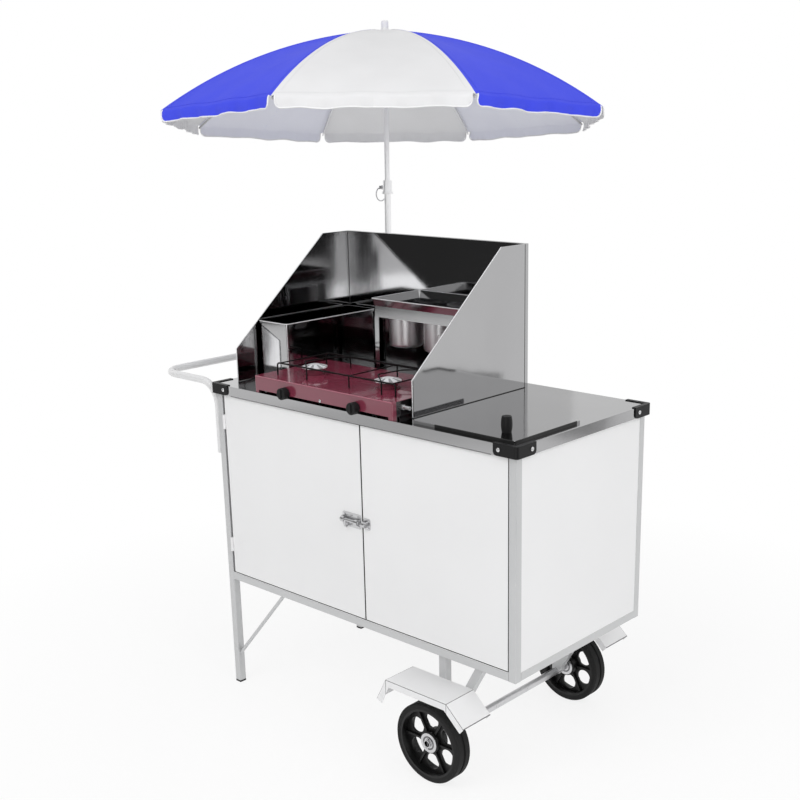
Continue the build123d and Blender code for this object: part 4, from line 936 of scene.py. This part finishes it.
class CART_OT_plate_hardware(bpy.types.Operator):
    """Plate the latch, the axle, the gas pipe, the pin and the ribs"""

    bl_idname = "cart.plate_hardware"
    bl_label = "Plate Hardware"

    def execute(self, context):
        zinc = plated("zinc_plate", (0.62, 0.62, 0.63), 0.3)
        dress(zinc, "latch_plate", "latch_bolt", "latch_keeper", "lock_pin", "gas_manifold")
        dress(self.washer_plate_with_painted_shade(), "axle")
        strip = plated("rib_strip", (0.7, 0.7, 0.71), 0.34)
        dress(strip, *[f"{kind}_{i + 1}" for kind in ("rib", "stretcher") for i in range(GORES)])
        return {"FINISHED"}

    def washer_plate_with_painted_shade(self):
        """Plate with painted shade in the washers' pressed ring and in the bore."""
        made = Finish("axle_plate", metallic=1.0)
        bore, ring_inside, ring_outside = 0.0075, 0.013, 0.017
        x, _, z = made.axes(WHEEL_CENTRE)
        radius = axis_distance(x, z)
        ring = (radius > ring_inside) * (1 - (radius > ring_outside))
        # Painted shade: the pressed ring and the bore are drawn dark
        dark = ring.most(1 - (radius > bore))
        cloud = made.noise(60.0)
        bright = made.between(cloud, (0.56, 0.56, 0.57, 1), (0.7, 0.7, 0.71, 1))
        made.set("Base Color", made.between(dark, bright, (0.16, 0.16, 0.165, 1)))
        made.set("Roughness", made.spread(cloud, 0.22, 0.4))
        made.relief(ring, 0.5, 0.0008)
        return made.material


class CART_OT_finish_wheels(bpy.types.Operator):
    """Give the wheels a moulded rim and a rubber tyre"""

    bl_idname = "cart.finish_wheels"
    bl_label = "Finish Wheels"

    def execute(self, context):
        made = Finish("wheel_black", specular_ior_level=0.35)
        rim_radius = 0.084
        x, _, z = made.axes(WHEEL_CENTRE)
        tyre = axis_distance(x, z) > rim_radius
        dust = made.noise(35.0, 4.0)
        rim_tone = made.between(dust, grey(0.004), grey(0.009))
        tyre_tone = made.between(dust, grey(0.006), grey(0.014))
        made.set("Base Color", made.between(tyre, rim_tone, tyre_tone))
        made.set("Roughness", tyre * 0.34 + made.spread(dust, 0.4, 0.52))
        made.relief(made.noise(700.0, 2.0), 0.25, 0.0004)
        dress(made.material, "front_wheel", "rear_wheel")
        return {"FINISHED"}


class CART_OT_finish_stove(bpy.types.Operator):
    """Enamel the stove and its burner heads with painted highlights and painted shade, brighten the
    caps and paint the pan support
    """

    bl_idname = "cart.finish_stove"
    bl_label = "Finish Stove"

    def execute(self, context):
        colour = context.scene.cart_colours.enamel
        dress(self.enamel(colour), "stove_body")
        dress(self.burner_alloy(colour), "burners")
        dress(plastic("black_wire_paint", grey(0.005), 0.4, shine=0.15), "pan_support")
        return {"FINISHED"}

    def enamel(self, colour):
        """Glossy enamel with a painted highlight on its top and along its front edges, and black
        painted shade on the end face beside the gas pipe.
        """
        made = Finish("stove_enamel_painted_light", coat_weight=0.7, coat_roughness=0.04)
        low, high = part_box("stove_body")
        size = high - low
        skin, plate, rim, front_gap = 0.0005, 0.0009, 0.0014, 0.012
        x, y, z = made.axes(high)
        # Painted shade: the right end face beside the gas pipe is black
        end = (x > -plate) * (y > front_gap - size.y)
        ends = (x > -rim) + (1 - (x > rim - size.x))
        front = (1 - (y > skin - size.y)) * ends.most(z > -rim)
        coat = made.mottled(made.noise(3.5, 2.0), colour, 0.95, 1.05)
        # Painted highlight: the top is a lighter copy of the enamel
        coat = made.between(z > -skin, coat, shade(colour, 1.5))
        # Painted highlight: pale lines along the front face's top edge and ends
        coat = made.between(front, coat, (0.5, 0.2, 0.25, 1))
        made.set("Base Color", made.between(end, coat, (0.012, 0.01, 0.011, 1)))
        made.set("Roughness", made.spread(made.noise(24.0), 0.14, 0.24))
        made.relief(made.noise(300.0, 2.0), 0.04, 0.0004)
        return made.material

    def burner_alloy(self, colour):
        """Bright cast caps with painted shade between their petals, a black painted shadow just under
        the caps, and enamelled burner heads.
        """
        made = Finish("burner_alloy")
        low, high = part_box("burners")
        cap_depth, shadow_band_depth, boss, petals = 0.0082, 0.0115, 0.013, 8.0
        x, y, z = made.axes(((low.x + high.x) / 2, (low.y + high.y) / 2, high.z))
        cap = z > -cap_depth
        x = abs(x) - ((high.x - low.x) - (high.y - low.y)) / 2
        petal = (y.maths("ARCTAN2", y, x) * petals).wave() > 0.35
        cast = made.noise(140.0, 4.0)
        plain = made.between(cast, (0.82, 0.83, 0.84, 1), (0.93, 0.94, 0.95, 1))
        # Painted shade: dark sectors between the cap's petals
        alloy = made.between(petal * (axis_distance(x, y) > boss), plain, (0.36, 0.36, 0.37, 1))
        head = made.mottled(cast, colour, 0.7, 1.1)
        # Painted shadow: a black band just under the cap
        head = made.between(z > -shadow_band_depth, head, grey(0.012))
        made.set("Base Color", made.between(cap, head, alloy))
        made.set("Metallic", cap * 0.35)
        made.set("Roughness", made.spread(cast, 0.34, 0.55))
        made.relief(cast, 0.3, 0.0006)
        return made.material


class CART_OT_mould_plastics(bpy.types.Operator):
    """Mould the black guards, knobs and feet and the white umbrella fittings"""

    bl_idname = "cart.mould_plastics"
    bl_label = "Mould Plastics"

    def execute(self, context):
        black = plastic("black_moulding", context.scene.cart_colours.moulding, 0.42, shine=0.2)
        dress(black, "leg_feet", "corner_guards", "left_knob", "right_knob", "lid_knob")
        white = plastic("white_moulding", (0.8, 0.8, 0.8), 0.3, coat=0.2)
        dress(white, "rib_hub", "runner", "finial")
        return {"FINISHED"}


class CART_OT_sew_canopy(bpy.types.Operator):
    """Sew the canopy: one curved sheet beside each rib, with its hanging flaps"""

    bl_idname = "cart.sew_canopy"
    bl_label = "Sew Canopy"

    def execute(self, context):
        colours = context.scene.cart_colours
        trim = context.scene.cart_trim
        cloth = Cloth(trim)
        fabrics = [
            woven("blue_cloth", colours.blue),
            woven("white_cloth", colours.white),
            # Painted light: the lining is lighter than its coating alone, and the white inside is a
            # lighter copy of the white cloth
            woven("blue_cloth_inside", colours.lining),
            woven("white_cloth_inside_painted_light", shade(colours.white, 1.1)),
        ]
        for index in range(GORES):
            mesh = petal_mesh(cloth, index)
            for fabric in fabrics:
                mesh.materials.append(fabric)
            petal = link_piece(f"canopy_cloth_{index + 1}", mesh)
            wall = petal.modifiers.new("cloth", "SOLIDIFY")
            wall.thickness = trim.cloth
            wall.offset = -1
            wall.material_offset = 2
            petal.data = settled_mesh(petal)
            petal.modifiers.clear()
            follow_rib(petal, index)
            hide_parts("canopy")
        return {"FINISHED"}


class CART_OT_pipe_canopy(bpy.types.Operator):
    """Run white piping round the flaps and stitches along the rim and the ribs"""

    bl_idname = "cart.pipe_canopy"
    bl_label = "Pipe Canopy"

    def execute(self, context):
        trim = context.scene.cart_trim
        colours = context.scene.cart_colours
        cloth = Cloth(trim)
        cotton = woven("white_piping", (0.86, 0.86, 0.87), 0.2)
        threads = [
            woven("blue_thread", shade(colours.blue, 0.9), 0.1),
            woven("white_thread", shade(colours.white, 0.95), 0.1),
        ]
        cord_tree = piping_tree()
        row_tree = stitch_tree()
        stitch = helper_shape("stitch_shape", thread_shape)
        sizes = {"stitch": stitch, "pitch": trim.stitch_pitch, "size": trim.stitch}
        gap = cloth.flap_gap
        for index in range(GORES):
            edges = []
            pieces = []
            for side, gore, start in (("right", index, gap), ("left", index - 1, 1 - gap)):
                edges.append(self.flap_edge(cloth, gore, start))
                rows = line_mesh("seam_lines", self.stitch_rows(cloth, gore, start))
                name = f"canopy_stitches_{side}_{index + 1}"
                pieces.append(grow(name, rows, row_tree, finish=threads[gore % 2], **sizes))
            name = f"canopy_piping_{index + 1}"
            cords = line_mesh("flap_edges", edges)
            pieces.append(grow(name, cords, cord_tree, radius=trim.piping, finish=cotton))
            for piece in pieces:
                smooth(piece.data)
                follow_rib(piece, index)
        bpy.data.objects.remove(stitch)
        return {"FINISHED"}

    def flap_edge(self, cloth, gore, start):
        """The free edge of half a flap: down its end and along its hem, finest at the corner."""
        end_steps, hem_steps, bunching = 6, 48, 1.5
        span = 0.5 - start
        edge = [cloth.flap_point(gore, start, step / end_steps) for step in range(end_steps + 1)]
        for step in range(1, hem_steps + 1):
            turn = start + span * (step / hem_steps) ** bunching
            edge.append(cloth.flap_point(gore, turn, 1.0))
        return edge

    def stitch_rows(self, cloth, gore, start):
        """The stitches of half a gore: along its rim and beside its rib."""
        rim_share, seam_inset, proud = 0.985, 0.03, 0.0006
        span = 0.5 - start
        lift = LEAN * proud
        rim = [cloth.point(gore, start + span * step / 24, rim_share) for step in range(25)]
        seam = [cloth.point(gore, start + span * seam_inset, step / 30) for step in range(2, 30)]
        return [[spot + lift for spot in row] for row in (rim, seam)]


class CART_OT_drive_screws(bpy.types.Operator):
    """Drive the screws of the corner guards, the latch and the stove"""

    bl_idname = "cart.drive_screws"
    bl_label = "Drive Screws"

    def execute(self, context):
        bright = plated("screw_zinc", (0.7, 0.7, 0.71), 0.24)
        head = helper_shape("pan_head_shape", pan_head)
        tree = heads_tree()
        plate_wall, stove_x, stove_z = 0.0015, 0.389, 0.854
        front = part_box("door")[0].y - plate_wall
        low, high = self.inset_box("latch_plate", 0.008, 0.0065)
        plate = self.front_spots((low.x, (low.x + high.x) / 2, high.x), front, (low.z, high.z))
        low, high = self.inset_box("latch_keeper", 0.0045, 0.0055)
        keeper = self.front_spots((high.x,), front, (low.z, high.z))
        stove = self.front_spots((stove_x,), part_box("stove_body")[0].y, (stove_z,))
        for name, body, size, spots in (
            ("guard_screws", "cart", context.scene.cart_trim.screw, self.guard_spots()),
            ("latch_screws", "door_leaf", 0.0032, plate),
            ("keeper_screws", "cart", 0.0028, keeper),
            ("stove_screw", "cart", 0.004, stove),
        ):
            mesh = spot_mesh(name + "_spots", spots)
            screws = grow(name, mesh, tree, head=head, size=size, finish=bright)
            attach(screws, body)
        bpy.data.objects.remove(head)
        return {"FINISHED"}

    def inset_box(self, name, across, up):
        """A node's box, pulled in at its ends and at its top and bottom."""
        low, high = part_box(name)
        margin = Vector((across, 0, up))
        return low + margin, high - margin

    def front_spots(self, columns, level, rows):
        """Spots that face the front, one for each column and row."""
        return [((x, level, z), (0, -1, 0)) for x in columns for z in rows]

    def guard_spots(self):
        """Two spots on each corner guard, one on each of its faces."""
        low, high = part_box("corner_guards")
        middle = (low.z + high.z) / 2
        reach = 0.05
        spots = []
        for x, out_x in ((low.x, -1), (high.x, 1)):
            for y, out_y in ((low.y, -1), (high.y, 1)):
                spots.append(((x, y - out_y * reach, middle), (out_x, 0, 0)))
                spots.append(((x - out_x * reach, y, middle), (0, out_y, 0)))
        return spots


class CART_OT_fit_shade_strips(bpy.types.Operator):
    """Fit black strips in the door's seams and under the counter's rim, and black lines along the
    hood's seams: painted shade
    """

    bl_idname = "cart.fit_seals"
    bl_label = "Fit Shade Strips"

    def execute(self, context):
        trim = context.scene.cart_trim
        # Black painted shade for the seam strips and the hood's lines
        rubber = plastic("black_painted_shade", (0.012, 0.012, 0.013), 0.62, grain=600.0)
        for name, body, low, high in self.strips(trim.seal):
            strip = link_piece(name, strip_mesh(name, Vector(low), Vector(high)))
            strip.data.materials.append(rubber)
            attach(strip, body)
        seams = line_mesh("painted_shade_lines", self.seams(trim.bead))
        bead = grow("hood_sealant", seams, piping_tree(), radius=trim.bead, finish=rubber)
        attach(bead, "cart")
        return {"FINISHED"}

    def strips(self, seal):
        """Name, body and corners of each black strip of painted shade: in the door's seams and under
        the counter's rim.
        """
        door_low, door_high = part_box("door")
        panel_low, panel_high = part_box("front_panel")
        rim_low, rim_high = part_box("counter_top")
        inset, sill_start, sill_lift = 0.0008, 0.012, 0.0012
        guard, rim_depth, rim_drop = 0.07, 0.003, seal * 1.8
        front = door_low.y + inset
        back = door_high.y - inset
        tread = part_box("body_panels")[0].z + sill_lift
        door = (door_high.x, front, door_low.z), (door_high.x + seal, back, door_high.z)
        panel = (panel_high.x, front, panel_low.z), (panel_high.x + seal, back, panel_high.z)
        sill = (sill_start, front, tread), (panel_high.x, back, tread + seal)
        rim = (
            (rim_low.x + guard, rim_low.y + inset, rim_low.z - rim_drop),
            (rim_high.x - guard, rim_low.y + rim_depth, rim_low.z),
        )
        return (
            ("door_edge_seal", "door_leaf", *door),
            ("panel_edge_seal", "cart", *panel),
            ("sill_seal", "cart", *sill),
            ("rim_seal", "cart", *rim),
        )

    def seams(self, bead):
        """The ends of each black line of painted shade along the hood, which is half sunk in its
        seam.
        """
        right_low, right_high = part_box("right_shield")
        left_low, left_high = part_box("left_shield")
        back_low, back_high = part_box("back_shield")
        top_gap, corner_gap = 0.001, 0.004
        foot = right_low.z + bead * 0.5
        corner = right_high.y + bead * 0.6
        inner = back_low.y - bead * 0.3
        return (
            ((right_high.x, right_low.y, foot), (right_high.x, corner, foot)),
            ((back_high.x, corner, foot), (back_high.x, corner, back_high.z - top_gap)),
            ((left_high.x, left_low.y, foot), (left_high.x, right_high.y - top_gap, foot)),
            ((left_high.x, inner, foot), (right_low.x, inner, foot)),
            (
                (left_high.x, back_low.y, foot),
                (left_high.x, back_low.y, left_high.z - corner_gap),
            ),
        )


class CART_OT_paint_edge_highlights(bpy.types.Operator):
    """Run bright lines of painted highlight along the edges of the hood, the bin and the rack"""

    bl_idname = "cart.grind_edges"
    bl_label = "Paint Edge Highlights"

    def execute(self, context):
        edge = context.scene.cart_trim.edge
        # Painted highlight: a bright finish for the edge lines
        made = Finish("painted_edge_highlight", metallic=0.5, roughness=0.45)
        dull, bright = (0.78, 0.78, 0.79, 1), (0.92, 0.92, 0.93, 1)
        made.set("Base Color", made.between(made.noise(80.0), dull, bright))
        tree = piping_tree()
        low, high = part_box("pot_rack")
        rack = [rounded_loop(low, high, 0.008, high.z - edge / 2)]
        hood = [self.shield_edge(name) for name in ("left_shield", "right_shield")]
        for name, body, lines in (
            ("bin_edges", "side_bin", self.bin_edges(edge)),
            ("rack_edges", "cart", rack),
            ("hood_edges", "cart", hood),
        ):
            bead = grow(name, line_mesh(name, lines), tree, radius=edge, finish=made.material)
            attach(bead, body)
        return {"FINISHED"}

    def bin_edges(self, edge):
        """The bin's rim and its upright front corner."""
        low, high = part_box("side_bin")
        inset, foot, hem, corner = 0.005, 0.002, 0.006, 0.01
        x, y = high.x - inset, low.y + inset
        post = [(x, y, low.z + foot), (x, y, high.z - hem)]
        return [rounded_loop(low, high, corner, high.z - edge), post]

    def shield_edge(self, name):
        """A side shield's front edge, up to its knee and on to its crest."""
        low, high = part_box(name)
        middle = (low.x + high.x) / 2
        points = [point.co for point in NODES[name].data.vertices]
        # The knee is the highest of the foremost points, the crest the foremost of the highest
        knee = max(points, key=lambda point: point.z - 100 * point.y)
        crest = max(points, key=lambda point: 100 * point.z - point.y)
        foot = (low.y, low.z + 0.002)
        return [(middle, *spot) for spot in (foot, knee.yz, crest.yz)]


class CART_OT_set_stage(bpy.types.Operator):
    """Set the floor, the studio light, the reflected cards and the camera"""

    bl_idname = "cart.set_stage"
    bl_label = "Set Stage"

    def execute(self, context):
        stage = context.scene.cart_stage
        self.camera(context, stage)
        self.floor()
        self.cards()
        self.lamps(stage)
        self.world(context)
        context.scene.view_settings.view_transform = "Standard"
        return {"FINISHED"}

    def camera(self, context, stage):
        data = bpy.data.cameras.new("view")
        data.lens = stage.lens
        data.sensor_width = 36.0
        data.shift_x, data.shift_y = SHIFT
        data.clip_end = 60.0
        eye = bpy.data.objects.new("view", data)
        a, e, r = stage.azimuth, stage.elevation, stage.roll
        back = Vector((math.sin(a) * math.cos(e), -math.cos(a) * math.cos(e), math.sin(e)))
        right = Vector((math.cos(a), math.sin(a), 0))
        up = back.cross(right)
        tilted = right * math.cos(r) + up * math.sin(r)
        upward = up * math.cos(r) - right * math.sin(r)
        turn = Matrix((tilted, upward, back)).transposed().to_4x4()
        eye.matrix_world = Matrix.Translation(EYE) @ turn
        context.scene.collection.objects.link(eye)
        context.scene.camera = eye

    def floor(self):
        """A white floor that keeps the cart's shadow and glows white further out."""
        centre = (0.5, 0.2, 0)
        near, fade, least = 0.7, 1.1, 0.82
        work = bmesh.new()
        bmesh.ops.create_grid(work, x_segments=8, y_segments=8, size=14.0)
        bmesh.ops.translate(work, vec=centre, verts=work.verts)
        ground = link_piece("studio_floor", finished_mesh("studio_floor", work))
        made = Finish("studio_white", base_color=grey(0.9), roughness=0.9, specular_ior_level=0.1)
        glow = made.node("ShaderNodeEmission", None, {"Color": grey(1.0), "Strength": 1.0})
        x, y, _ = made.axes(centre)
        far = made.node("ShaderNodeClamp", None, {0: (axis_distance(x, y) - near) / fade})
        share = seen_directly(made.tree) * (far * (1 - least) + least)
        base = Socket(made.tree, made.shader.outputs[0])
        blend = made.node("ShaderNodeMixShader", None, {0: share, 1: base, 2: glow})
        feed(made.tree, made.out.inputs["Surface"], blend)
        ground.data.materials.append(made.material)

    def cards(self):
        """Dark and bright cards round the cart, seen only in its polished steel."""
        for name, ((x, y), radius, foot, columns) in CARDS.items():
            work = bmesh.new()
            finishes = []
            for first, last, stack in columns:
                turns = [math.radians(first + (last - first) * step / 8) for step in range(9)]
                spots = [(x + radius * math.cos(a), y + radius * math.sin(a)) for a in turns]
                low = foot
                for high, level in stack:
                    for left, right in zip(spots, spots[1:]):
                        corners = ((*left, low), (*right, low), (*right, high), (*left, high))
                        face = work.faces.new([work.verts.new(corner) for corner in corners])
                        face.material_index = len(finishes)
                    made = Finish(
                        f"{name}_{len(finishes) + 1}",
                        base_color=grey(0.0),
                        specular_ior_level=0.0,
                        emission_color=grey(1.0),
                        emission_strength=level,
                    )
                    finishes.append(made.material)
                    low = high
            card = link_piece(name, finished_mesh(name, work))
            for finish in finishes:
                card.data.materials.append(finish)
            for ray in ("camera", "diffuse", "shadow", "transmission"):
                setattr(card, "visible_" + ray, False)

    def lamps(self, stage):
        target = Vector((0.45, 0.2, 0.8))
        for name, spot, power, size in (
            ("key_light", (0.6, -3.7, 4.2), stage.key, 2.6),
            ("fill_light", (4.4, -0.4, 3.0), stage.fill, 2.4),
        ):
            data = bpy.data.lights.new(name, "AREA")
            data.energy = power
            data.size = size
            lamp = bpy.data.objects.new(name, data)
            lamp.location = spot
            aim = target - Vector(spot)
            lamp.rotation_euler = aim.to_track_quat("-Z", "Y").to_euler()
            lamp.visible_glossy = False
            bpy.context.scene.collection.objects.link(lamp)

    def world(self, context):
        """White where it is seen, and a plain dimmer light elsewhere."""
        dim = 0.65
        sky = bpy.data.worlds.new("studio")
        sky.use_nodes = True
        tree = sky.node_tree
        tree.nodes.clear()
        level = seen_directly(tree) * (1 - dim) + dim
        sockets = {"Color": grey(1.0), "Strength": level}
        light = add_node(tree, "ShaderNodeBackground", None, sockets)
        out = tree.nodes.new("ShaderNodeOutputWorld")
        feed(tree, out.inputs["Surface"], light)
        context.scene.world = sky


STEPS = (
    CART_OT_set_stage,
    CART_OT_paint_frame,
    CART_OT_coat_panels,
    CART_OT_polish_steel,
    CART_OT_plate_hardware,
    CART_OT_finish_wheels,
    CART_OT_finish_stove,
    CART_OT_mould_plastics,
    CART_OT_sew_canopy,
    CART_OT_pipe_canopy,
    CART_OT_drive_screws,
    CART_OT_fit_shade_strips,
    CART_OT_paint_edge_highlights,
)


class CART_PT_steps(bpy.types.Panel):
    """The cart's steps and settings"""

    bl_label = "Food Cart"
    bl_space_type = "VIEW_3D"
    bl_region_type = "UI"
    bl_category = "Food Cart"

    def draw(self, context):
        for step in STEPS:
            self.layout.operator(step.bl_idname)
        for name in SETTINGS:
            group = getattr(context.scene, name)
            box = self.layout.box()
            for setting in group.__annotations__:
                box.prop(group, setting)


SETTINGS = {"cart_colours": CartColours, "cart_trim": CartTrim, "cart_stage": CartStage}


def register():
    for cls in (*SETTINGS.values(), *STEPS, CART_PT_steps):
        bpy.utils.register_class(cls)
    for name, cls in SETTINGS.items():
        setattr(bpy.types.Scene, name, bpy.props.PointerProperty(type=cls))


def unregister():
    for name in SETTINGS:
        delattr(bpy.types.Scene, name)
    for cls in (CART_PT_steps, *reversed(STEPS), *SETTINGS.values()):
        bpy.utils.unregister_class(cls)


def main():
    register()
    for step in STEPS:
        group, name = step.bl_idname.split(".")
        getattr(getattr(bpy.ops, group), name)()


if __name__ == "__main__":
    main()
